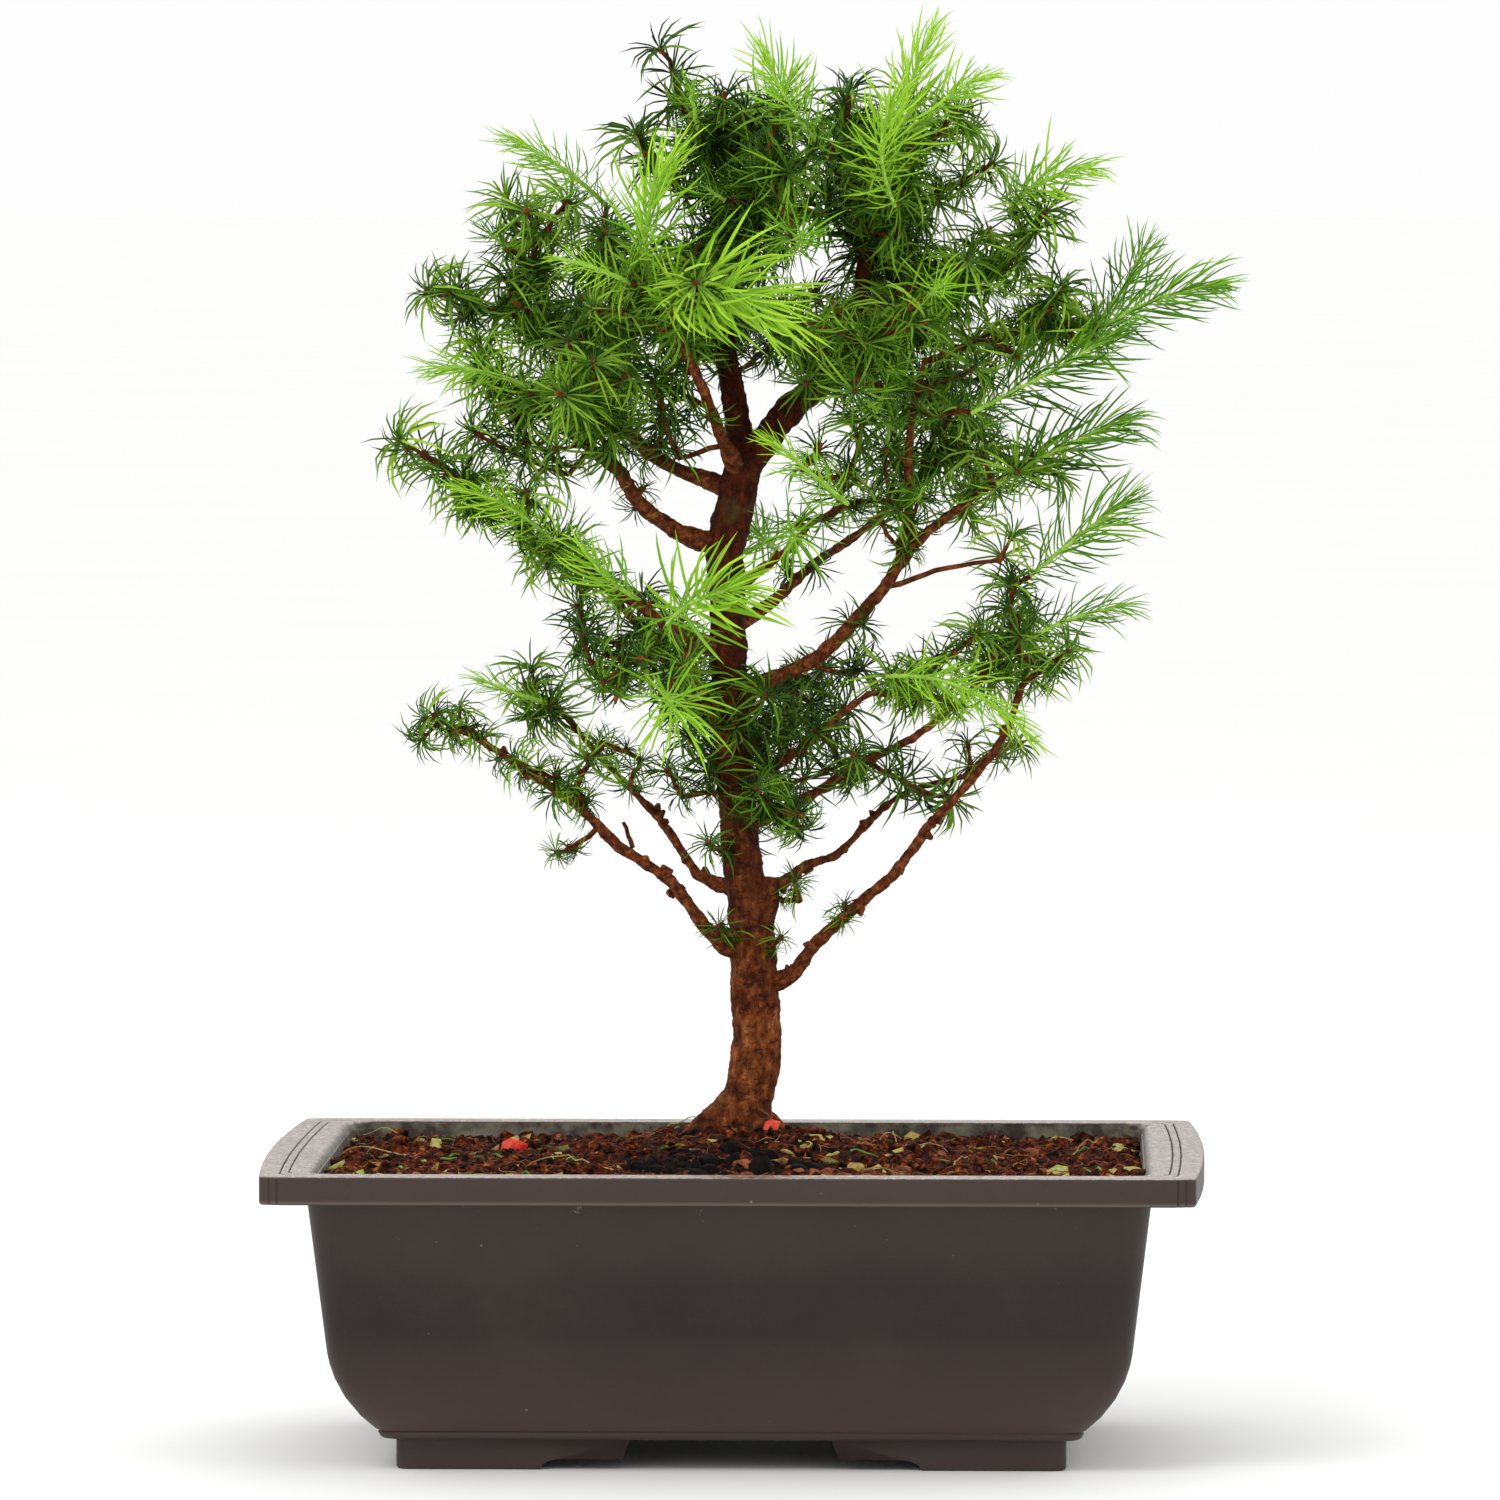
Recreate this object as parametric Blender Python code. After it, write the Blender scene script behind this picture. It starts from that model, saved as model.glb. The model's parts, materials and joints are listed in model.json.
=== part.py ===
"""A young larch grown as a bonsai in a moulded training pot.

The pot stands on the ground at z = 0. The tree is laid out from its foot, where the trunk leaves the
soil, so that it follows the pot's height and the soil level. All sizes are in millimetres and become
metres when a mesh is made.
"""

import math

import bpy
import numpy as np
from mathutils import Vector

MM = 0.001
GAP = 0.3

# Pot
POT_LENGTH = 218.0
POT_DEPTH = 160.0
POT_HEIGHT = 71.5
END_BOW = 2.8
RIM_OVERHANG_END = 9.4
RIM_OVERHANG_SIDE = 7.0
RIM_FACE = 6.6
RIM_THICKNESS = 2.2
RIM_CORNER = 1.2
RIM_SHOULDER = 2.6
GROOVES_FROM_END = (7.6, 5.6)
GROOVE_BOW = 1.5
GROOVE_WIDTH = 0.6
GROOVE_DEPTH = 0.4
NOTCHES_FROM_END = (2.15, 4.0)
NOTCH_DEPTH = 0.45
NOTCH_RUN = 0.3
WALL = 2.3
INNER_LIP = 1.9
CORNER_RADIUS = 7.0
WALL_DRAFT = 0.12
BASE_CURVE_HEIGHT = 20.0
BASE_CURVE_DEPTH = 9.0
BASE_LIP = 1.9
FLOOR = 2.6
FOOT_HEIGHT = 7.5
FOOT_INSET = 4.2
FOOT_WALL = 4.0
FOOT_LENGTH = 34.0
FOOT_WEB_LENGTH = 19.5
FOOT_WEB_RISE = 2.6
FOOT_SIDE_SHARE = 0.6
DRAIN_RADIUS = 6.0
DRAIN_SPREAD = 42.0

# Soil
SOIL_BELOW_RIM = 4.2
SOIL_FRONT_RISE = 2.6
SOIL_MOUND = 9.7
SOIL_MOUND_REACH = 34.0

# Tree
TREE_HEIGHT = 267.0
LAYOUT_HEIGHT = 267.0
TRUNK_GIRTH = 1.0
BRANCH_GIRTH = 1.0
ROOT_DEPTH = 12.0
TRUNK_SIDES = 12
BRANCH_SIDES = 6
SPRAY_SIDES = 8
SPRAY_RINGS = 8
TWIG_RADIUS = 0.8
SPRAY_NECK = 0.15
SPRAY_RISE = 0.06
SPRAY_ROUGHNESS = 0.16

# The crown leans out further on the right than the pot does, so the pot stands a little left of centre.
POT_OFFSET = -5.1

BARK = (0.30, 0.13, 0.055)
YOUNG_BARK = (0.22, 0.075, 0.035)
OLD_NEEDLES = (0.035, 0.13, 0.035)
YOUNG_NEEDLES = (0.25, 0.55, 0.06)
POT_BROWN = (0.062, 0.048, 0.042)
SOIL_BROWN = (0.11, 0.04, 0.018)


def clear_scene():
    for item in list(bpy.data.objects):
        bpy.data.objects.remove(item, do_unlink=True)


def material(name, colour, roughness, metallic=0.0):
    """One Principled material, made once and shared by the pieces that name it."""
    found = bpy.data.materials.get(name)
    if found:
        return found
    made = bpy.data.materials.new(name)
    made.use_nodes = True
    shader = made.node_tree.nodes["Principled BSDF"]
    shader.inputs["Base Color"].default_value = (*colour, 1.0)
    shader.inputs["Roughness"].default_value = roughness
    shader.inputs["Metallic"].default_value = metallic
    return made


def add_object(name, points, faces, finish=None, parent=None, smooth_angle=None):
    """An object made of points in millimetres; without a finish it is a hidden cutter."""
    mesh = bpy.data.meshes.new(name)
    mesh.from_pydata([tuple(MM * c for c in point) for point in points], [], faces)
    mesh.validate()
    if smooth_angle is not None:
        mesh.shade_smooth()
        mesh.set_sharp_from_angle(angle=math.radians(smooth_angle))
    made = bpy.data.objects.new(name, mesh)
    bpy.context.scene.collection.objects.link(made)
    made.parent = parent
    if finish is None:
        made.hide_render = True
        made.display_type = "WIRE"
    else:
        mesh.materials.append(finish)
    return made


def boolean(target, tool, operation):
    step = target.modifiers.new(f"{operation.lower()} {tool.name}", "BOOLEAN")
    step.operation = operation
    step.solver = "EXACT"
    step.object = tool


def loft(rings, closed_loop=False):
    """Points and faces of a skin through rings of equal length, listed from the bottom up."""
    count = len(rings[0])
    points = [point for ring in rings for point in ring]
    faces = []
    pairs = len(rings) if closed_loop else len(rings) - 1
    for level in range(pairs):
        low = level * count
        high = (level + 1) % len(rings) * count
        for i in range(count):
            j = (i + 1) % count
            faces.append((low + i, low + j, high + j, high + i))
    if not closed_loop:
        faces.append(tuple(reversed(range(count))))
        faces.append(tuple(range(len(points) - count, len(points))))
    return points, faces


# --------------------------------------------------------------------------- pot outlines


def mirrored(quarter):
    """A whole outline, anticlockwise, from the points of its first quarter from +X round to +Y."""
    second = [(-x, y) for x, y in reversed(quarter[:-1])]
    half = quarter + second
    return half + [(x, -y) for x, y in reversed(half[1:-1])]


def rounded_outline(half_x, half_y, corner, bow=0.0):
    """A rectangle with round corners whose two ends bow outwards."""
    quarter = []
    for share in (0.0, 0.5):
        y = share * (half_y - corner)
        quarter.append((half_x + bow * (1 - (y / half_y) ** 2), y))
    for step in range(6):
        angle = math.radians(90 * step / 5)
        y = half_y - corner + corner * math.sin(angle)
        x = half_x - corner + corner * math.cos(angle)
        quarter.append((x + bow * math.cos(angle) * (1 - (y / half_y) ** 2), y))
    quarter.append((0.5 * (half_x - corner), half_y))
    quarter.append((0.0, half_y))
    return mirrored(quarter)


def rim_ring(half_x, half_y, drop, end_drop=0.0, bow=END_BOW, corner=RIM_CORNER, notch=0.0):
    """One ring of the rim: `drop` below its top, and `end_drop` further down along the two ends.

    The ends bow outwards. A notch steps each long face back twice near its corners.
    """
    z = POT_HEIGHT - drop
    quarter = []
    for share in (0.0, 0.25, 0.5, 0.75):
        y = share * (half_y - corner)
        quarter.append((half_x + bow * (1 - (y / half_y) ** 2), y, z - end_drop))
    for step in range(3):
        angle = math.radians(90 * step / 2)
        y = half_y - 2 * notch - corner + corner * math.sin(angle)
        x = half_x - corner + corner * math.cos(angle)
        x += bow * math.cos(angle) * (1 - (y / half_y) ** 2)
        quarter.append((x, y, z - end_drop * math.cos(angle)))
    run = half_x - corner + RIM_CORNER
    for level, width in enumerate(NOTCHES_FROM_END, start=1):
        quarter.append((run - width, half_y - (3 - level) * notch, z))
        quarter.append((run - width - NOTCH_RUN, half_y - (2 - level) * notch, z))
    quarter.append((0.0, half_y, z))
    return mirrored_ring(quarter)


def mirrored_ring(quarter):
    """A whole ring, anticlockwise, from the points of its first quarter with their heights."""
    second = [(-x, y, z) for x, y, z in reversed(quarter[:-1])]
    half = quarter + second
    return half + [(x, -y, z) for x, y, z in reversed(half[1:-1])]


def ring_at(outline, z):
    return [(x, y, z) for x, y in outline]


BODY_HALF_X = POT_LENGTH / 2 - RIM_OVERHANG_END
BODY_HALF_Y = POT_DEPTH / 2 - RIM_OVERHANG_SIDE
BODY_BOTTOM = FOOT_HEIGHT
FLOOR_TOP = FOOT_HEIGHT + FLOOR


def wall_inset(z):
    """How far the body's outer wall has drawn in at height z: a straight draft, then a round base."""
    inset = WALL_DRAFT * (POT_HEIGHT - z)
    curve_top = BODY_BOTTOM + BASE_LIP + BASE_CURVE_HEIGHT
    if z >= curve_top:
        return inset
    drop = curve_top - z
    radius = (BASE_CURVE_DEPTH**2 + BASE_CURVE_HEIGHT**2) / (2 * BASE_CURVE_DEPTH)
    return inset + radius - math.sqrt(radius**2 - drop**2)


def body_outline(inset, corner=CORNER_RADIUS):
    return rounded_outline(BODY_HALF_X - inset, BODY_HALF_Y - inset, max(corner - 0.15 * inset, 1.0))


def wall_levels(low, high):
    """Heights for the wall's rings, close together where the base curves."""
    curve_top = BODY_BOTTOM + BASE_LIP + BASE_CURVE_HEIGHT
    levels = [low + (curve_top - low) * math.sin(math.radians(90 * k / 6)) ** 1.3 for k in range(6)]
    return levels + [curve_top, (curve_top + high) / 2, high]


# --------------------------------------------------------------------------- pot


def make_tray(finish):
    """The body: floor, inner wall, top edge inside the rim, outer wall, base lip and underside."""
    top = POT_HEIGHT - INNER_LIP
    lip_top = BODY_BOTTOM + BASE_LIP
    groove = 0.4
    outer = [(BODY_BOTTOM, wall_inset(lip_top) + 1.2), (BODY_BOTTOM + 0.4, wall_inset(lip_top) + 0.6)]
    outer += [(lip_top - groove, wall_inset(lip_top)), (lip_top, wall_inset(lip_top) + groove)]
    outer += [(z, wall_inset(z)) for z in wall_levels(lip_top + groove, top)]
    inner = [(z, wall_inset(z) + WALL) for z in reversed(wall_levels(FLOOR_TOP, top))]
    rings = [ring_at(body_outline(inset), z) for z, inset in outer + inner]
    points, faces = loft(rings)
    return add_object("pot", points, faces, finish, smooth_angle=30)


def make_rim_tool():
    """A ring with a soft inner shoulder, two grooves along each end and a turned-down skirt."""
    inner_x = BODY_HALF_X - WALL + 0.1
    inner_y = BODY_HALF_Y - WALL + 0.1
    soft = CORNER_RADIUS - 1.0
    rings = []
    # Each row: how far out of the opening at the ends and at the sides, and the drop at both.
    shoulder = [(0.0, 0.0, 0.0, RIM_THICKNESS), (0.0, 0.0, 1.2, 0.5), (0.22, 0.2, 0.5, 0.15)]
    shoulder += [(0.58, 0.5, 0.1, 0.0), (1.0, 1.0, 0.0, 0.0)]
    for end_share, side_out, end_drop, drop in shoulder:
        half_x = inner_x + end_share * RIM_SHOULDER
        rings.append(rim_ring(half_x, inner_y + side_out, drop, end_drop, 0.0, soft))
    for k, from_end in enumerate(GROOVES_FROM_END):
        half_x = POT_LENGTH / 2 + END_BOW - GROOVE_BOW - from_end
        half_y = inner_y + 2.5 + 2.0 * k
        for side, depth in ((-0.5, 0.0), (0.0, GROOVE_DEPTH), (0.5, 0.0)):
            width = side * GROOVE_WIDTH
            rings.append(rim_ring(half_x + width, half_y + width, 0.0, depth, GROOVE_BOW, soft - k))
    skirt = 1.9
    edge = [(0.5, 0.0), (0.15, 0.12), (0.0, 0.5), (0.0, RIM_FACE - 0.5), (0.4, RIM_FACE)]
    edge += [(skirt, RIM_FACE), (skirt, RIM_THICKNESS)]
    for inset, drop in edge:
        half_x = POT_LENGTH / 2 - inset
        rings.append(rim_ring(half_x, POT_DEPTH / 2 - inset, drop, notch=NOTCH_DEPTH))
    points, faces = loft([list(reversed(ring)) for ring in rings], closed_loop=True)
    return add_object("rim tool", points, faces)


def foot_half_sizes():
    inset = wall_inset(BODY_BOTTOM + BASE_LIP) + FOOT_INSET
    return BODY_HALF_X - inset, BODY_HALF_Y - inset


def make_foot_tool():
    """The foot ring, before the passages between the four feet are cut."""
    half_x, half_y = foot_half_sizes()
    buried = FOOT_HEIGHT + 1.0
    outer = rounded_outline(half_x, half_y, 3.0)
    inner = rounded_outline(half_x - FOOT_WALL, half_y - FOOT_WALL, 2.0)
    chamfered = rounded_outline(half_x - 0.5, half_y - 0.5, 2.6)
    rings = [ring_at(inner, buried), ring_at(inner, 0.0), ring_at(chamfered, 0.0)]
    rings += [ring_at(outer, 0.6), ring_at(outer, buried)]
    points, faces = loft(rings, closed_loop=True)
    foot = add_object("foot tool", points, faces)
    front = make_passage_tool("front passage", half_x, FOOT_LENGTH, FOOT_WEB_LENGTH, "Y")
    side_sizes = (FOOT_LENGTH * FOOT_SIDE_SHARE, FOOT_WEB_LENGTH * FOOT_SIDE_SHARE)
    side = make_passage_tool("side passage", half_y, *side_sizes, "X")
    boolean(foot, front, "DIFFERENCE")
    boolean(foot, side, "DIFFERENCE")
    return foot


def make_passage_tool(name, half_span, foot_length, web_length, through):
    """The gap between two feet: it steps up over a low web beside each foot, then to the body."""
    foot_end = half_span - foot_length
    web_end = foot_end - web_length
    cove = FOOT_WEB_RISE
    side = [(web_end - 2.0, FOOT_HEIGHT + 0.5), (web_end, FOOT_WEB_RISE)]
    for step in range(5):
        angle = math.radians(90 - 90 * step / 4)
        side.append((foot_end - cove * 2 + 2 * cove * math.cos(angle), FOOT_WEB_RISE * math.sin(angle)))
    side.append((foot_end + 0.2, -1.0))
    profile = side + [(-x, z) for x, z in reversed(side)]
    reach = POT_LENGTH
    if through == "Y":
        rings = [[(x, -reach, z) for x, z in profile], [(x, reach, z) for x, z in profile]]
    else:
        rings = [[(-reach, -x, z) for x, z in profile], [(reach, -x, z) for x, z in profile]]
    points, faces = loft(rings)
    return add_object(name, points, faces)


def make_drain_tool(name, x):
    circle = [math.radians(360 * k / 20) for k in range(20)]
    outline = [(x + DRAIN_RADIUS * math.cos(a), DRAIN_RADIUS * math.sin(a)) for a in circle]
    points, faces = loft([ring_at(outline, FOOT_HEIGHT - 2), ring_at(outline, FLOOR_TOP + 2)])
    return add_object(name, points, faces)


def make_pot():
    finish = material("pot_plastic", POT_BROWN, 0.55)
    pot = make_tray(finish)
    tools = [(make_rim_tool(), "UNION"), (make_foot_tool(), "UNION")]
    tools += [(make_drain_tool("drain left", -DRAIN_SPREAD), "DIFFERENCE")]
    tools += [(make_drain_tool("drain right", DRAIN_SPREAD), "DIFFERENCE")]
    for tool, operation in tools:
        boolean(pot, tool, operation)
        tool.parent = pot
    return pot


# --------------------------------------------------------------------------- soil


def soil_height(x, y):
    """The soil's surface: lower at the back, level with the rim in front, mounded round the trunk."""
    level = POT_HEIGHT - SOIL_BELOW_RIM - SOIL_FRONT_RISE * min(y / (POT_DEPTH / 2), 0.0)
    return level + SOIL_MOUND * math.exp(-((x**2 + y**2) / SOIL_MOUND_REACH**2))


def make_soil(wood_clearance):
    low = FLOOR_TOP + GAP
    top = POT_HEIGHT - SOIL_BELOW_RIM
    inset = WALL + GAP
    rings = [ring_at(body_outline(wall_inset(z) + inset), z) for z in wall_levels(low, top - 2.0)]
    edge = body_outline(wall_inset(top) + inset)
    for share in (1.0, 0.85, 0.68, 0.5, 0.34, 0.2, 0.09):
        rings.append([(share * x, share * y, soil_height(share * x, share * y)) for x, y in edge])
    points, faces = loft(rings)
    soil = add_object("soil", points, faces, material("soil_mix", SOIL_BROWN, 0.95), smooth_angle=40)
    boolean(soil, wood_clearance, "DIFFERENCE")
    return soil


# --------------------------------------------------------------------------- wood


def smooth_route(points, spacing):
    """Points along a Catmull-Rom curve through the given points."""
    given = [np.array(p, float) for p in points]
    given = [2 * given[0] - given[1]] + given + [2 * given[-1] - given[-2]]
    route = []
    for before, start, end, after in zip(given, given[1:], given[2:], given[3:]):
        pieces = max(1, round(float(np.linalg.norm(end - start)) / spacing))
        for k in range(pieces):
            t = k / pieces
            square = 2 * before - 5 * start + 4 * end - after
            cube = 3 * start - before - 3 * end + after
            route.append(0.5 * (2 * start + (end - before) * t + square * t**2 + cube * t**3))
    route.append(given[-2])
    return route


def path_lengths(route):
    steps = [0.0] + [float(np.linalg.norm(b - a)) for a, b in zip(route, route[1:])]
    return np.cumsum(steps)


def point_along(route, share):
    lengths = path_lengths(route)
    return np.array([np.interp(share * lengths[-1], lengths, axis) for axis in np.array(route).T])


def tube(route, radii, sides, bumps=None):
    """A closed tube along a route. Its rings keep one side facing the same way, so it doesn't twist."""
    rings = []
    across = None
    for i, centre in enumerate(route):
        ahead = Vector(route[min(i + 1, len(route) - 1)] - route[max(i - 1, 0)]).normalized()
        if across is None:
            across = ahead.orthogonal().normalized()
        across = (across - ahead * across.dot(ahead)).normalized()
        other = ahead.cross(across)
        ring = []
        for k in range(sides):
            angle = 2 * math.pi * k / sides
            radius = float(radii[i] * (1.0 if bumps is None else bumps[i][k]))
            outward = math.cos(angle) * across + math.sin(angle) * other
            ring.append(tuple(Vector(centre) + radius * outward))
        rings.append(ring)
    return loft(rings)


SIZE = TREE_HEIGHT / LAYOUT_HEIGHT
FOOT_OF_TREE = np.array((0.0, 0.0, soil_height(0.0, 0.0)))


def tree_points(points):
    """Points given from the foot of the tree at its layout height, as places in the pot's frame."""
    return [FOOT_OF_TREE + SIZE * np.array(p, float) for p in points]


TRUNK = [(-1, 0, -ROOT_DEPTH), (0, 0, 0), (2.4, 0, 6.3), (4, 0, 13), (4.7, 0, 22), (4.2, 0, 31)]
TRUNK += [(3.5, 0, 45), (1.5, 0, 60), (0, 0, 75), (-2, 0, 105), (-2.5, 0, 126), (-3, 0, 138)]
TRUNK += [(0, 0, 151), (2, 0, 161)]
TRUNK_RADII = {-12: 8.6, 0: 8.0, 6: 6.3, 13: 6.2, 26: 5.9, 45: 5.6, 54: 5.0, 75: 4.5}
TRUNK_RADII |= {126: 4.4, 144: 4.7, 161: 4.4}

# Each leader grows out of the trunk's top: its points, and its radius at the start and the end.
LEADERS = {
    "left_leader": (
        [
            (2, 0, 158), (0, 2, 169), (-1, 3, 174), (-3, 4, 186), (-4.5, 4, 198),
            (-4.5, 4, 208), (-5, 3, 221), (-8, 3, 232),
        ],
        3.6,
        1.0,
    ),
    "right_leader": (
        [
            (2, 0, 158), (8, -1, 166), (14, -2, 173), (24, -4, 181), (27.5, -4, 190),
            (30, -3, 202), (32, -3, 216), (35, -3, 228),
        ],
        4.0,
        1.1,
    ),
}

ROOTS = [
    [(0, 0, 5), (-8, -3, -1), (-15, -6, -8)],
    [(1, 0, 4), (7, -6, -2), (12, -12, -9)],
    [(1, 0, 4), (8, 5, -2), (15, 9, -9)],
    [(0, 0, 4), (-6, 8, -2), (-10, 14, -9)],
]
ROOT_RADII = (4.6, 2.4)
STUB = [(4, -1, 44), (7.2, -1.6, 54), (8.2, -1.8, 59.5)]
STUB_RADII = (3.4, 2.4)

# Each branch: what it grows from, its points, and its radius at the start and the end.
BRANCHES = {
    "branch_left_low": (
        "trunk",
        [
            (3, 0, 38), (-8, -2, 48), (-16, -4, 59), (-28, -6, 67), (-39, -8, 78),
            (-51, -9, 86), (-60, -10, 92),
        ],
        (1.9, 0.9),
    ),
    "branch_right_low": (
        "trunk",
        [
            (5, 0, 32), (14, -2, 37), (18, -2, 43), (31, -4, 55), (38, -4, 61), (45, -4, 71),
            (55, -4, 82), (64, -3, 94), (68, -1, 106),
        ],
        (1.8, 0.9),
    ),
    "branch_left_second": (
        "trunk",
        [(2, 2, 55), (-10, 5, 60), (-14, 8, 66), (-21, 10, 75), (-32, 13, 86), (-44, 13, 100)],
        (1.5, 0.7),
    ),
    "branch_right_second": (
        "trunk",
        [
            (2, 1, 57), (11, 3, 58), (16, 5, 62), (23, 7, 64), (34, 11, 75), (42, 13, 80),
            (55, 15, 83),
        ],
        (1.4, 0.7),
    ),
    "branch_right_mid": (
        "trunk",
        [
            (-2, 0, 102), (11, -2, 108), (20, -4, 113), (28, -6, 121), (35, -8, 129),
            (39, -9, 135), (46, -9, 143), (56, -8, 150),
        ],
        (2.2, 1.1),
    ),
    "branch_right_fork": (
        "branch_right_mid",
        [(38, -8.8, 133.5), (41, -7, 146), (41, -6, 160), (42, -4, 172), (45, -3, 184)],
        (1.4, 0.8),
    ),
    "branch_right_small": (
        "trunk",
        [
            (0, 0, 80), (13, -4, 89), (20, -7, 94), (26, -9, 100), (33, -13, 105),
        ],
        (1.3, 0.8),
    ),
    "branch_right_inner": (
        "trunk",
        [(0, 0, 71), (12, 3, 76), (21, 4, 81), (32, 5, 88), (41, 5, 92), (55, 6, 103)],
        (1.5, 0.8),
    ),
    "branch_left_upper": (
        "trunk",
        [
            (-3, 0, 139), (-14, -2, 142), (-24, -5, 150), (-28, -6, 157), (-33, -7, 161),
            (-42, -8, 168), (-47, -8, 175),
        ],
        (2.4, 1.1),
    ),
    "branch_left_back": (
        "trunk",
        [
            (0, 0, 152), (-12, 5, 156), (-20, 8, 160), (-31, 11, 170), (-39, 12, 178),
            (-44, 12, 189), (-49, 12, 200),
        ],
        (2.1, 1.0),
    ),
    "branch_left_mid": (
        "trunk",
        [
            (-2, 0, 112), (-12, -4, 118), (-24, -7, 125), (-31, -9, 130), (-38, -10, 134),
        ],
        (1.8, 0.9),
    ),
    "branch_front_upper": (
        "trunk",
        [
            (1, 0, 154), (-3, -10, 164), (-8, -22, 178), (-13, -36, 190), (-14, -48, 197),
        ],
        (1.8, 0.9),
    ),
    "branch_front_mid": (
        "trunk",
        [
            (-2, 0, 128), (5, -9, 133), (12, -17, 138), (18, -26, 145),
        ],
        (1.5, 0.8),
    ),
    "branch_front_low": (
        "trunk",
        [
            (-1, 0, 88), (-4, -12, 95), (-9, -24, 108), (-12, -33, 116),
        ],
        (1.6, 0.8),
    ),
    "branch_back_upper": (
        "trunk",
        [
            (-1, 0, 146), (2, 12, 158), (0, 24, 170), (-4, 34, 180),
        ],
        (1.9, 0.9),
    ),
    "branch_back_right": (
        "trunk",
        [
            (-2, 0, 118), (8, 10, 125), (18, 20, 134), (30, 28, 142), (38, 32, 150),
        ],
        (1.8, 0.9),
    ),
    "branch_back_left": (
        "trunk",
        [
            (-2, 0, 95), (-8, 10, 102), (-18, 20, 112), (-28, 28, 122), (-36, 32, 132),
        ],
        (1.8, 0.9),
    ),
    "branch_back_low": ("trunk", [(1, 0, 64), (4, 10, 72), (8, 20, 82), (10, 30, 90)], (1.4, 0.7)),
}

# Each spray of needles: the limb that it grows from, how far along that limb it starts, the place of
# its tip, the radius of its needles and whether it is this year's growth.
SPRAYS = {
    "crown_left": ("left_leader", 1.0, (-20, 0, 260), 12, False),
    "crown_mid": ("left_leader", 0.72, (15, 12, 255), 9.5, True),
    "crown_right": ("right_leader", 1.0, (47, -9, 266), 12, True),
    "crown_back": ("right_leader", 0.64, (28, 34, 240), 12, False),
    "crown_front": ("left_leader", 0.6, (10, -34, 230), 12, False),
    "left_shoulder": ("branch_left_back", 1.0, (-50, 0, 236), 12, True),
    "left_inner": ("left_leader", 0.3, (-36, -14, 207), 12, False),
    "right_shoulder": ("right_leader", 0.85, (82, -8, 232), 11, True),
    "right_inner": ("right_leader", 0.55, (62, -6, 206), 10.5, False),
    "far_right": ("branch_right_fork", 1.0, (122, -2, 200), 11, True),
    "left_tip": ("branch_left_back", 0.82, (-77, 2, 200), 10, False),
    "left_shoot": ("branch_left_upper", 1.0, (-79, -14, 180), 10, True),
    "left_front": ("branch_left_upper", 0.6, (-36, -40, 176), 12, False),
    "far_left": ("branch_left_mid", 0.98, (-92, -18, 168), 10, True),
    "front_shoot": ("branch_front_upper", 1.0, (28, -66, 198), 11, True),
    "front_upright": ("branch_front_upper", 0.8, (-15, -48, 232), 11, True),
    "front_right_upper": ("right_leader", 0.35, (32, -42, 188), 12.5, False),
    "front_right_mid": ("branch_front_mid", 1.0, (42, -38, 160), 10, True),
    "front_star": ("branch_front_mid", 0.5, (6, -48, 145), 10, True),
    "front_centre": ("branch_front_low", 1.0, (6, -62, 128), 11, True),
    "front_lower_star": ("branch_front_low", 0.5, (-14, -60, 96), 11, True),
    "right_middle": ("branch_right_mid", 1.0, (94, -12, 172), 10, True),
    "right_lower": ("branch_right_mid", 0.6, (94, -12, 140), 10, True),
    "right_low_tip": ("branch_right_low", 1.0, (92, -6, 122), 9, True),
    "right_small": ("branch_right_small", 1.0, (68, -32, 98), 10, True),
    "left_centre": ("branch_left_mid", 0.3, (-32, -30, 106), 11, False),
    "left_low_tip": ("branch_left_low", 1.0, (-77, -13, 99), 8, False),
    "left_second_tip": ("branch_left_second", 1.0, (-63, 10, 109), 8, True),
    "trunk_cluster": ("trunk", 0.5, (16, -28, 76), 10, False),
    "right_second_tip": ("branch_right_second", 1.0, (68, 20, 92), 8, False),
    "right_inner_tip": ("branch_right_inner", 1.0, (72, 22, 122), 10, False),
    "back_crown": ("branch_back_upper", 1.0, (-8, 66, 206), 14, True),
    "back_upper_right": ("right_leader", 0.38, (42, 50, 190), 12.5, False),
    "back_upper_left": ("branch_left_back", 0.5, (-40, 44, 190), 13, False),
    "back_right": ("branch_back_right", 1.0, (58, 50, 166), 13, False),
    "back_left": ("branch_back_left", 1.0, (-58, 44, 150), 13, True),
    "back_low": ("branch_back_low", 1.0, (14, 56, 106), 12, False),
    "back_middle": ("branch_back_right", 0.4, (0, 64, 142), 13, True),
}


def tapered(route, start, end):
    lengths = path_lengths(route)
    return [start + (end - start) * length / lengths[-1] for length in lengths]


def limb_routes():
    """Every limb's route and radii, by name."""
    limbs = {}
    route = smooth_route(tree_points(TRUNK), 6.0)
    heights = sorted(TRUNK_RADII)
    radii = []
    for point in route:
        height = (point[2] - FOOT_OF_TREE[2]) / SIZE
        radii.append(TRUNK_GIRTH * float(np.interp(height, heights, [TRUNK_RADII[h] for h in heights])))
    limbs["trunk"] = (route, radii)
    for name, (points, start, end) in LEADERS.items():
        route = smooth_route(tree_points(points), 6.0)
        limbs[name] = (route, tapered(route, TRUNK_GIRTH * start, TRUNK_GIRTH * end))
    for name, (_, points, (start, end)) in BRANCHES.items():
        route = smooth_route(tree_points(points), 6.0)
        limbs[name] = (route, tapered(route, BRANCH_GIRTH * start, BRANCH_GIRTH * end))
    return limbs


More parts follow.
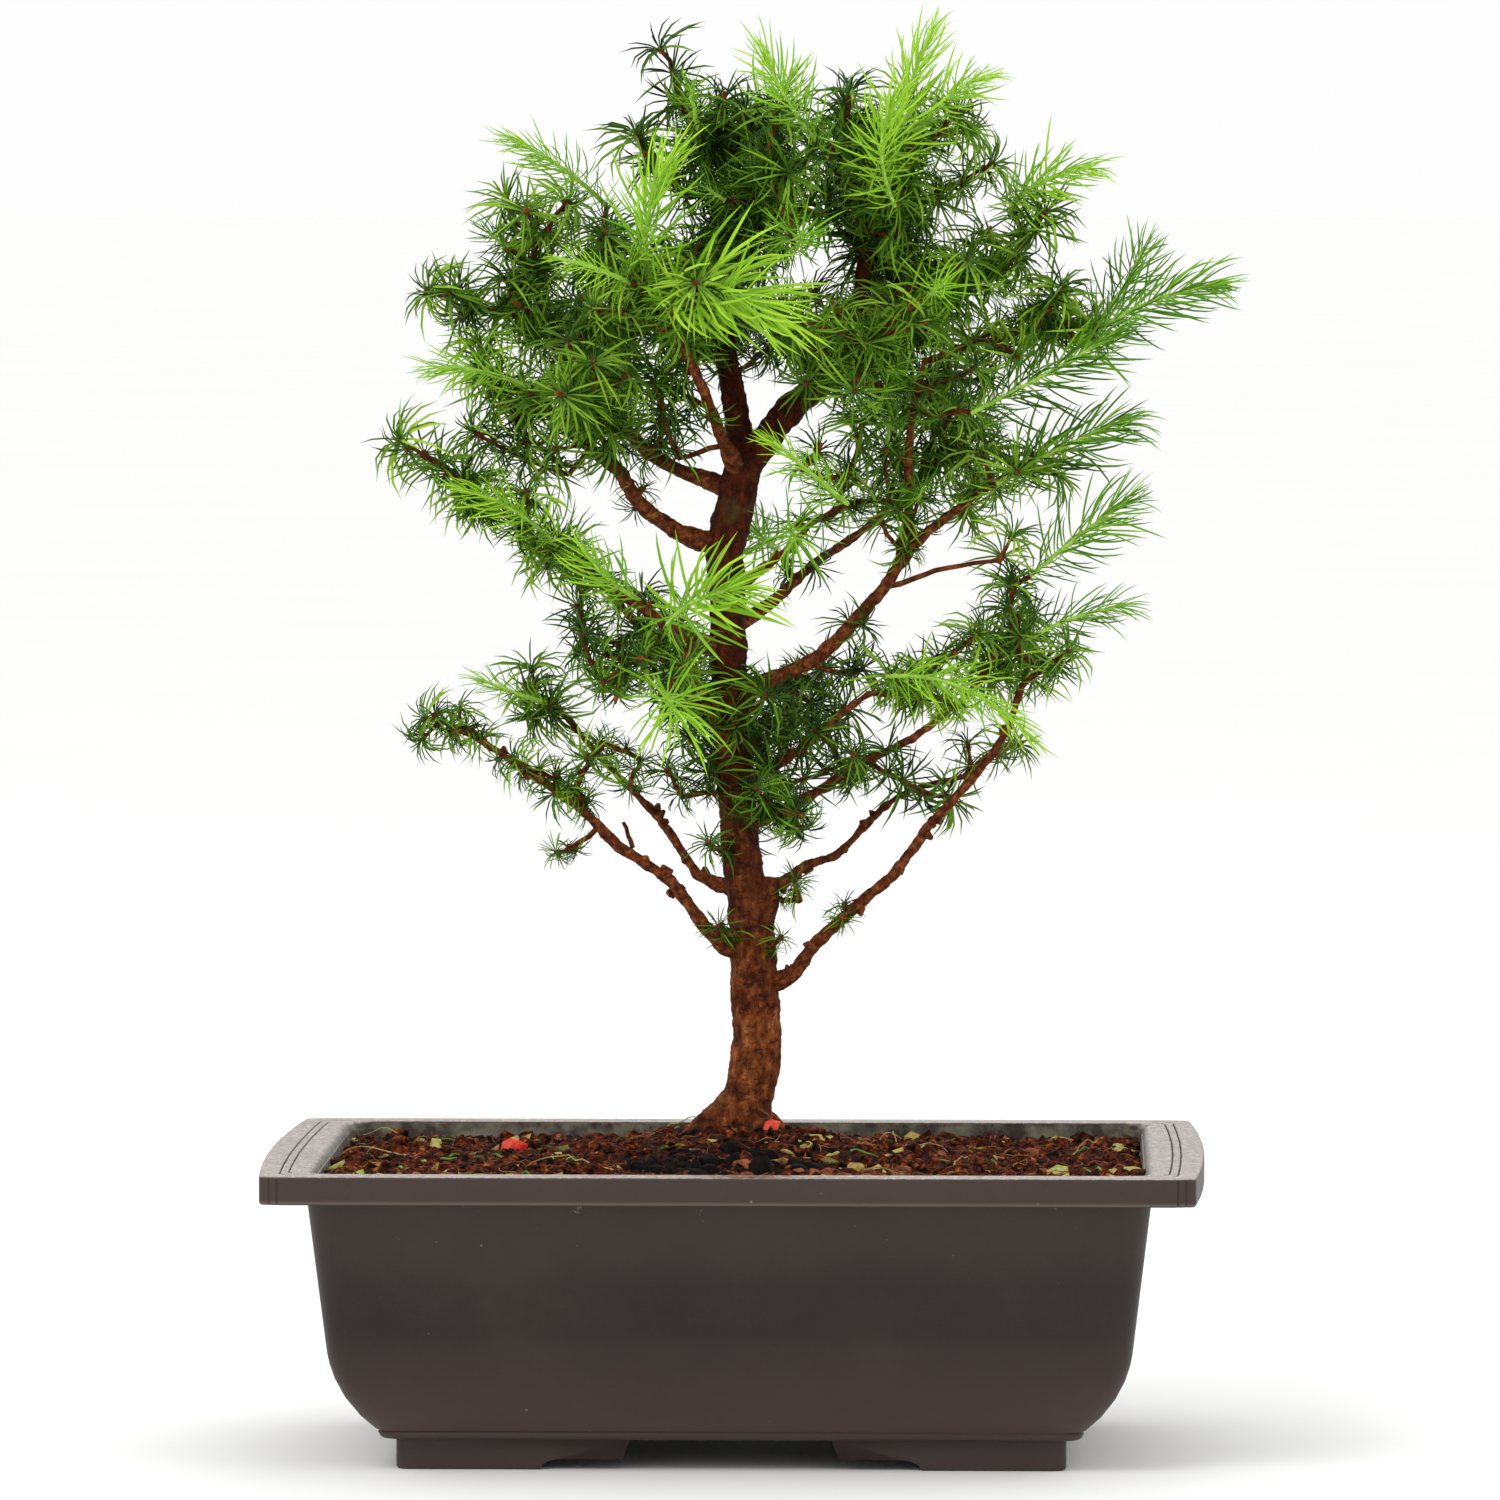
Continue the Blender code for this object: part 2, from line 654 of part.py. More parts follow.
def make_trunk(name, limbs, clearance, finish=None):
    """The trunk with its leaders, roots and the stub of an old cut, as one piece of wood."""

    def grown(route, radii):
        return tube(route, [radius + clearance for radius in radii], TRUNK_SIDES)

    trunk = add_object(name, *grown(*limbs["trunk"]), finish, smooth_angle=50)
    additions = [(leader, *limbs[leader]) for leader in LEADERS]
    for k, points in enumerate(ROOTS):
        route = smooth_route(tree_points(points), 5.0)
        additions.append((f"root {k}", route, tapered(route, *(TRUNK_GIRTH * r for r in ROOT_RADII))))
    route = smooth_route(tree_points(STUB), 6.0)
    additions.append(("stub", route, tapered(route, *(TRUNK_GIRTH * r for r in STUB_RADII))))
    for part, route, radii in additions:
        tool = add_object(f"{name} {part}", *grown(route, radii), parent=trunk)
        boolean(trunk, tool, "UNION")
    return trunk


def make_branch(name, limbs, clearances):
    """A branch starts inside what it grows from and is cut back to that limb's skin."""
    parent = BRANCHES[name][0]
    points, faces = tube(*limbs[name], BRANCH_SIDES)
    branch = add_object(name, points, faces, material("young_bark", YOUNG_BARK, 0.7), smooth_angle=60)
    boolean(branch, clearances[parent], "DIFFERENCE")
    return branch


def spray_radii(girth):
    """The needles' reach along a spray: a bare stem, then full, then closing at the tip."""
    stem = TWIG_RADIUS * BRANCH_GIRTH
    radii = []
    for step in range(SPRAY_RINGS + 1):
        share = step / SPRAY_RINGS
        full = max((share - SPRAY_NECK) / (1 - SPRAY_NECK), 0.0)
        radii.append(max(stem, girth * math.sin(math.pi * full**0.85) ** 0.7))
    return radii


def make_spray(name, limbs, clearances):
    limb, share, tip, girth, young = SPRAYS[name]
    start = point_along(limbs[limb][0], share)
    end = tree_points([tip])[0]
    length = float(np.linalg.norm(end - start))
    middle = (start + end) / 2 + np.array((0, 0, SPRAY_RISE * length))
    shares = [step / SPRAY_RINGS for step in range(SPRAY_RINGS + 1)]
    route = [(1 - t) ** 2 * start + 2 * t * (1 - t) * middle + t**2 * end for t in shares]
    rng = np.random.default_rng(sum(map(ord, name)))
    bumps = 1 - SPRAY_ROUGHNESS * rng.random((len(route), SPRAY_SIDES))
    bumps[:2] = 1.0
    points, faces = tube(route, spray_radii(SIZE * girth), SPRAY_SIDES, bumps)
    if young:
        finish = material("young_needles", YOUNG_NEEDLES, 0.6)
    else:
        finish = material("old_needles", OLD_NEEDLES, 0.6)
    spray = add_object(f"needles_{name}", points, faces, finish)
    boolean(spray, clearances[limb], "DIFFERENCE")
    return spray


def make_tree():
    limbs = limb_routes()
    clearance = make_trunk("trunk clearance", limbs, GAP)
    clearances = {name: clearance for name in ("trunk", *LEADERS)}
    pieces = [make_trunk("trunk", limbs, 0.0, material("bark", BARK, 0.8))]
    for name in BRANCHES:
        route, radii = limbs[name]
        grown = tube(route, [radius + GAP for radius in radii], BRANCH_SIDES)
        clearances[name] = add_object(f"{name} clearance", *grown)
    pieces += [make_branch(name, limbs, clearances) for name in BRANCHES]
    pieces += [make_spray(name, limbs, clearances) for name in SPRAYS]
    return pieces, clearances


def main():
    clear_scene()
    stand = bpy.data.objects.new("bonsai", None)
    bpy.context.scene.collection.objects.link(stand)
    pieces, clearances = make_tree()
    pieces.append(make_pot())
    pieces.append(make_soil(clearances["trunk"]))
    for item in bpy.data.objects:
        if item is not stand and item.parent is None:
            item.parent = stand
    stand.location.x = POT_OFFSET * MM


main()
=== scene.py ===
import json
import math

import bmesh
import bpy
import numpy as np
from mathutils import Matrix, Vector
from mathutils.bvhtree import BVHTree


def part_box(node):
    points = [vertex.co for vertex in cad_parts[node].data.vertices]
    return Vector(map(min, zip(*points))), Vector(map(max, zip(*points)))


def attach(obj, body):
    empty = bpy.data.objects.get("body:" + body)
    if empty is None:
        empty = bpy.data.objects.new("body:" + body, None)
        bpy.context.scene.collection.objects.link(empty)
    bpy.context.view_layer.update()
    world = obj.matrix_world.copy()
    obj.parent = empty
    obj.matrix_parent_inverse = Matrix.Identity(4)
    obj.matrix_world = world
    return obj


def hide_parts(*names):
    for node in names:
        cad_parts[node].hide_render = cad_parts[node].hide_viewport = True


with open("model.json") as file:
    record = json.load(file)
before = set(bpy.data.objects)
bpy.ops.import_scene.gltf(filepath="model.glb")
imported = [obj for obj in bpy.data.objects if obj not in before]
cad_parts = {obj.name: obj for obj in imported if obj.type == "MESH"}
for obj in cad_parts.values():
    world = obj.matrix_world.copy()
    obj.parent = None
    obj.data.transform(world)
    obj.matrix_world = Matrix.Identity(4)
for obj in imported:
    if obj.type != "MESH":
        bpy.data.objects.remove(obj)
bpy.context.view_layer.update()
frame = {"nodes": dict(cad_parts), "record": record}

scene = bpy.context.scene


# ---- Studio
# A wide pale floor under an even white sky, with one large soft light from the upper left and two
# weaker ones, right and behind. The camera stands a little above the soil and looks slightly down.

BLACK = (0, 0, 0)
WHITE = (255, 255, 255)


def srgb(colour):
    """A colour of three parts, 0 to 255, as a painter would mix it on screen, for the shader."""
    parts = [c / 255 / 12.92 if c < 11 else ((c / 255 + 0.055) / 1.055) ** 2.4 for c in colour]
    return (*parts, 1.0)


def feed(tree, socket, value):
    """Gives a socket another node's output, or a plain value or colour."""
    if isinstance(value, bpy.types.NodeSocket):
        tree.links.new(value, socket)
    else:
        socket.default_value = srgb(value) if socket.type == "RGBA" else value


def add(tree, kind, feeds=None, **settings):
    """A new node in a tree, with its settings and what feeds its sockets."""
    node = tree.nodes.new(kind)
    for name, value in settings.items():
        setattr(node, name, value)
    for socket, value in (feeds or {}).items():
        feed(tree, node.inputs[socket], value)
    return node


def finish_of(name, roughness, specular):
    """A new material with its own Principled shader: the material, its tree and the shader."""
    made = bpy.data.materials.new(name)
    made.use_nodes = True
    shader = made.node_tree.nodes["Principled BSDF"]
    shader.inputs["Roughness"].default_value = roughness
    shader.inputs["Specular IOR Level"].default_value = specular
    return made, made.node_tree, shader


def own_place(tree):
    """Where on the piece a point lies, in metres."""
    return add(tree, "ShaderNodeTexCoord").outputs["Object"]


def part_of(tree, vector, axis):
    return add(tree, "ShaderNodeSeparateXYZ", {0: vector}).outputs[axis]


def shades(tree, factor, stops):
    """A run of colours along a factor."""
    ramp = add(tree, "ShaderNodeValToRGB", {"Fac": factor})
    band = ramp.color_ramp.elements
    while len(band) < len(stops):
        band.new(0.5)
    for element, (place, colour) in zip(band, stops):
        element.position = place
        element.color = srgb(colour)
    return ramp.outputs["Color"]


def grain(tree, place, scale, detail=6.0, roughness=0.6, stretch=(1, 1, 1)):
    """Cloudy noise at so many lumps to the metre, drawn out along any axis whose stretch is below 1."""
    if stretch != (1, 1, 1):
        place = add(tree, "ShaderNodeMapping", {"Vector": place, "Scale": stretch}).outputs[0]
    feeds = {"Vector": place, "Scale": scale, "Detail": detail, "Roughness": roughness}
    return add(tree, "ShaderNodeTexNoise", feeds).outputs["Fac"]


FLOOR_REACH = 60.0
corners = [(x * FLOOR_REACH, y * FLOOR_REACH, 0) for x, y in ((-1, -1), (1, -1), (1, 1), (-1, 1))]
floor_mesh = bpy.data.meshes.new("floor")
floor_mesh.from_pydata(corners, [], [(0, 1, 2, 3)])
floor = bpy.data.objects.new("floor", floor_mesh)
floor_finish, tree, shader = finish_of("studio_floor", 0.85, 0.2)
paper = shades(tree, grain(tree, own_place(tree), 3.0), [(0.3, (248, 248, 247)), (0.7, (250, 250, 249))])
feed(tree, shader.inputs["Base Color"], paper)
floor_mesh.materials.append(floor_finish)
scene.collection.objects.link(floor)

sky = bpy.data.worlds.new("white sky")
scene.world = sky
sky.use_nodes = True
tree = sky.node_tree
climb = part_of(tree, add(tree, "ShaderNodeTexCoord").outputs["Generated"], "Z")
haze = shades(tree, climb, [(0.0, (249.3,) * 3), (0.1, (251.6,) * 3), (0.5, WHITE)])
feed(tree, tree.nodes["Background"].inputs["Color"], haze)
feed(tree, tree.nodes["Background"].inputs["Strength"], 1.04)
scene.view_settings.view_transform = "Standard"

CENTRE = Vector((0, 0, 0.17))
LIGHTS = {  # where each stands, how wide it is in metres, and its power in watts
    "upper_left": ((-0.9, -1.3, 1.5), 0.8, 13.0),
    "right": ((1.4, -0.9, 0.7), 0.8, 2.0),
    "behind": ((0.3, 1.4, 1.3), 1.0, 4.0),
}
for name, (spot, size, power) in LIGHTS.items():
    lamp = bpy.data.lights.new(name, "AREA")
    lamp.size = size
    lamp.energy = power
    stand = bpy.data.objects.new(name, lamp)
    stand.location = spot
    stand.rotation_euler = (CENTRE - Vector(spot)).to_track_quat("-Z", "Y").to_euler()
    scene.collection.objects.link(stand)

lens = bpy.data.cameras.new("camera")
lens.sensor_width = 36.0
lens.lens = 264.0
lens.clip_end = 200.0
camera = bpy.data.objects.new("camera", lens)
camera.location = (0.0769, -2.627, 0.307)
view = Vector((-0.0021, 0, 0.167)) - camera.location
camera.rotation_euler = view.to_track_quat("-Z", "Y").to_euler()
scene.collection.objects.link(camera)
scene.camera = camera


# ---- Pot
# One moulded piece of dark brown-grey plastic: a tray with a turned-down rim, a rounded base and four
# notched feet. Years of watering have left lime under the rim and grey dust on top of it.


def blended(tree, share, below, above, kind="MIX"):
    """One colour laid over another, by a share."""
    feeds = {0: share, 6: below, 7: above}
    return add(tree, "ShaderNodeMix", feeds, data_type="RGBA", blend_type=kind).outputs[2]


def maths(tree, operation, *values):
    return add(tree, "ShaderNodeMath", dict(enumerate(values)), operation=operation).outputs[0]


def ranged(tree, value, start, end, low=0.0, high=1.0):
    """Runs from low to high as a value goes from start to end, and no further."""
    feeds = {"Value": value, "From Min": start, "From Max": end, "To Min": low, "To Max": high}
    return add(tree, "ShaderNodeMapRange", feeds).outputs[0]


def mask(tree, factor, clear, full, strength=255):
    """A share that grows from nothing as a factor goes from one value to another."""
    return shades(tree, factor, [(clear, BLACK), (full, (strength,) * 3)])


def roughened(tree, shader, height, strength, distance):
    """Fine relief on a finish, over any that it already has."""
    feeds = {"Height": height, "Strength": strength, "Distance": distance}
    bump = add(tree, "ShaderNodeBump", feeds)
    normal = shader.inputs["Normal"]
    if normal.links:
        tree.links.new(normal.links[0].from_socket, bump.inputs["Normal"])
    tree.links.new(bump.outputs[0], normal)


pot_low, pot_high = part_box("pot")
POT_MIDDLE = Vector(((pot_low.x + pot_high.x) / 2, 0, 0))
RIM_GROOVE = 0.0004

pot_finish, tree, shader = finish_of("pot_plastic", 0.5, 0.3)
place = own_place(tree)
facing = add(tree, "ShaderNodeNewGeometry").outputs["Normal"]
height = part_of(tree, place, "Z")
upward = part_of(tree, facing, "Z")
browns = [(0.3, (32, 23, 19)), (0.55, (42, 31, 26)), (0.75, (54, 41, 35))]
body = shades(tree, grain(tree, place, 28, 8), browns)
streaks = grain(tree, place, 60, 4, stretch=(1, 1, 0.12))
body = blended(tree, mask(tree, streaks, 0.5, 0.9, 70), body, (80, 66, 60))
mottle = shades(tree, grain(tree, place, 1300, 2), [(0.35, (104, 118, 112)), (0.65, (148, 128, 128))])
body = blended(tree, 0.5, body, mottle, "OVERLAY")
body = blended(tree, ranged(tree, height, 0.034, 0.012, high=0.6), body, (82, 64, 58))
high_wall = ranged(tree, height, 0.045, 0.064, high=0.4)
body = blended(tree, high_wall, body, (76, 62, 56))

# Lime spots high on the walls, darker feet, and a pale bloom on the inside above the soil.
lime_spots = mask(tree, grain(tree, place, 240, 7, 0.75), 0.655, 0.71)
body = blended(tree, maths(tree, "MULTIPLY", high_wall, lime_spots), body, (176, 156, 140))
body = blended(tree, ranged(tree, height, 0.0095, 0.0075), body, (58, 46, 42))
inward = add(tree, "ShaderNodeVectorMath", {0: facing, 1: place}, operation="DOT_PRODUCT").outputs["Value"]
inner_wall = ranged(tree, inward, -0.02, -0.05, high=0.75)
bloom = mask(tree, grain(tree, place, 150, 8, 0.7), 0.42, 0.62)
body = blended(tree, maths(tree, "MULTIPLY", inner_wall, bloom), body, (132, 128, 108))

# Dust and scuffs on what faces up, thinner in patches. The rim's grooves are painted dark, as shade.
level = ranged(tree, upward, 0.5, 0.98)
patches = ranged(tree, grain(tree, place, 120, 4), 0.2, 0.5, low=0.5)
scuffs = grain(tree, place, 700, 5, 0.7, stretch=(1, 0.4, 1))
dust = shades(tree, scuffs, [(0.35, (92, 76, 66)), (0.5, (126, 108, 96)), (0.68, (188, 170, 156))])
body = blended(tree, maths(tree, "MULTIPLY", level, patches), body, dust)
# Painted shade: the floor of each groove in the rim is coloured dark brown.
groove = add(tree, "ShaderNodeAttribute", attribute_name="groove").outputs["Fac"]
body = blended(tree, groove, body, (26, 20, 17))

# A light edge at the rim's foot, and painted shade: two dark lines on its face at the notch steps near each
# end.
from_middle = maths(tree, "ABSOLUTE", maths(tree, "SUBTRACT", part_of(tree, place, "X"), POT_MIDDLE.x))
near_end = ranged(tree, from_middle, 0.1040, 0.1075)
on_rim = ranged(tree, height, 0.0650, 0.0653, high=0.8)
rim_foot = maths(tree, "MULTIPLY", ranged(tree, height, 0.0660, 0.0651, high=0.3), on_rim)
body = blended(tree, rim_foot, body, (168, 148, 138))
# Painted shade where the rim's face steps back at its notches: thin dark lines.
notches = []
for start in (0.15, 0.68):
    notches += [(start, BLACK), (start + 0.07, WHITE), (start + 0.12, WHITE), (start + 0.19, BLACK)]
notch_shade = maths(tree, "MULTIPLY", on_rim, shades(tree, near_end, notches))
notch_shade = maths(tree, "MULTIPLY", notch_shade, ranged(tree, upward, 0.7, 0.4))
body = blended(tree, notch_shade, body, (30, 23, 20))
specks = add(tree, "ShaderNodeTexVoronoi", {"Vector": place, "Scale": 75}).outputs["Distance"]
body = blended(tree, shades(tree, specks, [(0.015, (200,) * 3), (0.035, BLACK)]), body, (150, 126, 100))
feed(tree, shader.inputs["Base Color"], body)

# The top of the rim is rubbed smoother than the walls, and the grooves are dull.
dull = ranged(tree, grain(tree, place, 45, 6), 0.0, 1.0, 0.40, 0.60)
dull = maths(tree, "SUBTRACT", dull, maths(tree, "MULTIPLY", level, 0.22))
feed(tree, shader.inputs["Roughness"], maths(tree, "MULTIPLY_ADD", groove, 0.9, dull))
roughened(tree, shader, grain(tree, place, 900, 3), 0.12, 0.0004)


def solid_of(node):
    """The merged mesh of a CAD node, as a bmesh."""
    shell = bmesh.new()
    shell.from_mesh(frame["nodes"][node].data)
    bmesh.ops.remove_doubles(shell, verts=shell.verts, dist=1e-6)
    return shell


def mesh_of(shell, name):
    """Turns a bmesh into a mesh, and lets the bmesh go."""
    made = bpy.data.meshes.new(name)
    shell.to_mesh(made)
    shell.free()
    return made


def piece_of(name, mesh, material=None, smooth=None):
    """A finished piece on the plant's one body."""
    if material:
        mesh.materials.clear()
        mesh.materials.append(material)
    made = bpy.data.objects.new(name, mesh)
    scene.collection.objects.link(made)
    if smooth is not None:
        mesh.shade_smooth()
        mesh.set_sharp_from_angle(angle=math.radians(smooth))
    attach(made, "root")
    return made


shell = solid_of("pot")
bmesh.ops.dissolve_limit(shell, angle_limit=math.radians(0.5), verts=shell.verts, edges=shell.edges)
bmesh.ops.triangulate(shell, faces=shell.faces)
pot_mesh = mesh_of(shell, "planting_pot")
# Marks the floor of the rim's grooves, where the finish paints shade.
groove_floor = pot_high.z - RIM_GROOVE
in_groove = [float(abs(vert.co.z - groove_floor) < 0.00005) for vert in pot_mesh.vertices]
pot_mesh.attributes.new("groove", "FLOAT", "POINT").data.foreach_set("value", in_groove)
pot = piece_of("planting_pot", pot_mesh, pot_finish, smooth=28)
pot.modifiers.new("even flats", "WEIGHTED_NORMAL").keep_sharp = True
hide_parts("pot")


# ---- Soil
# A coarse mix of coir, bark crumbs and stone chips, mounded round the trunk. The solid bed carries a
# scatter of separate crumbs, chips, fibres and fallen needles.

soil_finish, tree, shader = finish_of("soil_mix", 0.92, 0.12)
place = own_place(tree)
damp = [(0.35, (10, 4, 2)), (0.5, (34, 13, 5)), (0.62, (66, 27, 11)), (0.8, (104, 52, 25))]
feed(tree, shader.inputs["Base Color"], shades(tree, grain(tree, place, 420, 8), damp))
roughened(tree, shader, grain(tree, place, 700, 6), 0.6, 0.0008)


def geometry_tree(name, sizes):
    """An empty Geometry Nodes tree with its named inputs: (name, kind, value)."""
    made = bpy.data.node_groups.new(name, "GeometryNodeTree")
    made.interface.new_socket("Geometry", in_out="INPUT", socket_type="NodeSocketGeometry")
    made.interface.new_socket("Geometry", in_out="OUTPUT", socket_type="NodeSocketGeometry")
    for label, kind, value in sizes:
        socket = made.interface.new_socket(label, in_out="INPUT", socket_type=f"NodeSocket{kind}")
        socket.default_value = value
    return made, add(made, "NodeGroupInput").outputs


def finish_tree(tree, shape, material):
    """Every tree ends in loose instances made real, with their material."""
    real = add(tree, "GeometryNodeRealizeInstances", {0: shape}).outputs[0]
    dressed = add(tree, "GeometryNodeSetMaterial", {"Geometry": real, "Material": material}).outputs[0]
    add(tree, "NodeGroupOutput", {"Geometry": dressed})


def host_of(name, mesh):
    """An object that only holds a mesh while a modifier works on it."""
    host = bpy.data.objects.new(name, mesh)
    scene.collection.objects.link(host)
    return host


def made_plain(host):
    """What a host's modifiers give, as a plain mesh. The host goes."""
    graph = bpy.context.evaluated_depsgraph_get()
    worked = host.evaluated_get(graph)
    mesh = bpy.data.meshes.new_from_object(worked, preserve_all_data_layers=True, depsgraph=graph)
    mesh.name = host.name
    host.modifiers.clear()
    bpy.data.objects.remove(host)
    return mesh


def even_skin(name, mesh, voxel):
    """A closed shape made over in small even faces, so that it can take relief."""
    host = host_of(name, mesh)
    skin = host.modifiers.new("even skin", "REMESH")
    skin.mode = "VOXEL"
    skin.voxel_size = voxel
    return made_plain(host)


def grown_mesh(name, mesh, tree, **sizes):
    """Runs a tree on a mesh and keeps the result as a plain mesh."""
    host = host_of(name, mesh)
    step = host.modifiers.new(tree.name, "NODES")
    step.node_group = tree
    for item in tree.interface.items_tree:
        if item.in_out == "INPUT" and item.name in sizes:
            step[item.identifier] = sizes[item.name]
    return made_plain(host)


def rumpled(tree, given, layers):
    """How far noise pushes a surface out or in: a depth and a number to the metre for each layer."""
    place = add(tree, "GeometryNodeInputPosition").outputs[0]
    total = 0.0
    for depth, scale in layers:
        feeds = {"Vector": place, "Scale": given[scale], "Detail": 3.0}
        noisy = add(tree, "ShaderNodeTexNoise", feeds).outputs["Fac"]
        push = maths(tree, "MULTIPLY", maths(tree, "SUBTRACT", noisy, 0.5), given[depth])
        total = maths(tree, "ADD", total, push)
    return total


tree, given = geometry_tree("soil surface", [
    ("Clod depth", "Float", 0.0042),
    ("Clods per metre", "Float", 150.0),
    ("Crumb depth", "Float", 0.0030),
    ("Crumbs per metre", "Float", 520.0),
])
rise = rumpled(tree, given, [("Clod depth", "Clods per metre"), ("Crumb depth", "Crumbs per metre")])
up = part_of(tree, add(tree, "GeometryNodeInputNormal").outputs[0], "Z")
top = add(tree, "FunctionNodeCompare", {0: up, 1: 0.6}, operation="GREATER_THAN").outputs[0]
lift = add(tree, "ShaderNodeCombineXYZ", {"Z": rise}).outputs[0]
feeds = {"Geometry": given["Geometry"], "Selection": top, "Offset": lift}
finish_tree(tree, add(tree, "GeometryNodeSetPosition", feeds).outputs[0], soil_finish)
bed_mesh = even_skin("soil_bed_blank", mesh_of(solid_of("soil"), "soil_bed_blank"), 0.0013)
bed_mesh = grown_mesh("soil_bed", bed_mesh, tree)
soil = piece_of("soil_bed", bed_mesh, smooth=60)
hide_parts("soil")


def top_patch(low_limit, middle=(0, 0), reach=(1, 1)):
    """The bed's upper side as the ground for a scatter: above a height, in an oval round a middle."""
    patch = bmesh.new()
    patch.from_mesh(bed_mesh)
    patch.normal_update()
    unwanted = []
    for face in patch.faces:
        spot = face.calc_center_median()
        away = ((spot.x - middle[0]) / reach[0]) ** 2 + ((spot.y - middle[1]) / reach[1]) ** 2
        if face.normal.z < 0.25 or spot.z < low_limit or away > 1:
            unwanted.append(face)
    bmesh.ops.delete(patch, geom=unwanted, context="FACES")
    return mesh_of(patch, "ground")


def lump(name, fineness, roughness, seed):
    """A small broken lump, of unit radius, for scattering."""
    rng = np.random.default_rng(seed)
    stone = bmesh.new()
    bmesh.ops.create_icosphere(stone, subdivisions=fineness, radius=1.0)
    for vert in stone.verts:
        vert.co *= 1 + roughness * (rng.random() - 0.5)
    return bpy.data.objects.new(name, mesh_of(stone, name))


def chance(tree, low, high, seed, kind="FLOAT"):
    """A random value between two limits, anew for each point."""
    first = {"FLOAT_VECTOR": 0, "FLOAT": 1, "INT": 2}[kind]
    feeds = {2 * first: low, 2 * first + 1: high, "Seed": seed}
    return add(tree, "FunctionNodeRandomValue", feeds, data_type=kind).outputs[first]


def stood_on(tree, points, shape, turn, scale, pick=None):
    """Stands a shape on each point, or picks one of several joined shapes."""
    feeds = {"Points": points, "Instance": shape, "Rotation": turn, "Scale": scale}
    if pick is not None:
        feeds |= {"Pick Instance": True, "Instance Index": pick}
    return add(tree, "GeometryNodeInstanceOnPoints", feeds).outputs[0]


def scatter(name, shapes, material, smallest, largest, flat, seed):
    """A tree that scatters shapes over a surface, mostly small ones, turned and squashed at random."""
    sizes = [("Per square metre", "Float", 1000.0), ("Smallest", "Float", smallest)]
    tree, given = geometry_tree(name, sizes + [("Largest", "Float", largest)])
    feeds = {"Mesh": given["Geometry"], "Density Max": given["Per square metre"]}
    feeds |= {"Distance Min": smallest * 0.4, "Seed": seed}
    spots = add(tree, "GeometryNodeDistributePointsOnFaces", feeds, distribute_method="POISSON").outputs[0]
    choices = add(tree, "GeometryNodeJoinGeometry")
    for shape in reversed(shapes):
        info = add(tree, "GeometryNodeObjectInfo", {"Object": shape, "As Instance": True})
        tree.links.new(info.outputs["Geometry"], choices.inputs[0])
    one = chance(tree, 0, len(shapes) - 1, seed, "INT")
    small_often = maths(tree, "POWER", chance(tree, 0.0, 1.0, seed + 1), 2.2)
    size = ranged(tree, small_often, 0.0, 1.0, given["Smallest"], given["Largest"])
    form = chance(tree, (0.75, 0.55, flat[0]), (1.25, 0.95, flat[1]), seed + 2, "FLOAT_VECTOR")
    scale = add(tree, "ShaderNodeVectorMath", {0: form, "Scale": size}, operation="SCALE").outputs[0]
    turn = chance(tree, (-0.5, -0.5, 0), (0.5, 0.5, 6.28), seed + 3, "FLOAT_VECTOR")
    finish_tree(tree, stood_on(tree, spots, choices.outputs[0], turn, scale, one), material)
    return tree


def speckled(name, scale, stops, roughness=0.9, fleck=0.35):
    """A dull earthy finish: colours in patches, broken up by fine dark flecks."""
    made, tree, shader = finish_of(name, roughness, 0.12)
    place = own_place(tree)
    tints = shades(tree, grain(tree, place, scale, 2), stops)
    dark = shades(tree, grain(tree, place, 1500, 4), [(0.35, (70, 64, 60)), (0.62, WHITE)])
    feed(tree, shader.inputs["Base Color"], blended(tree, fleck, tints, dark, "MULTIPLY"))
    return made


EARTH = [(0.36, (12, 4, 1)), (0.44, (44, 14, 4)), (0.54, (86, 33, 10)), (0.64, (130, 58, 20))]
EARTH += [(0.72, (184, 112, 52))]
CHIP = [(0.35, (128, 78, 42)), (0.46, (178, 146, 84)), (0.55, (186, 180, 104)), (0.62, (150, 160, 74))]
CHIP += [(0.7, (206, 190, 150))]
PEBBLE = [(0.38, (62, 26, 14)), (0.5, (112, 56, 32)), (0.62, (160, 92, 58))]
crumb_finish = speckled("soil_crumbs", 420, EARTH, fleck=0.5)
chip_finish = speckled("stone_chips", 150, CHIP, 0.8)
pebble_finish = speckled("pebbles", 150, PEBBLE, 0.7)
clod_finish = speckled("black_clods", 300, [(0.4, (7, 5, 4)), (0.6, (24, 14, 10))])
red_finish = speckled("red_bits", 200, [(0.4, (206, 44, 30)), (0.6, (232, 92, 70))], 0.6, 0.1)

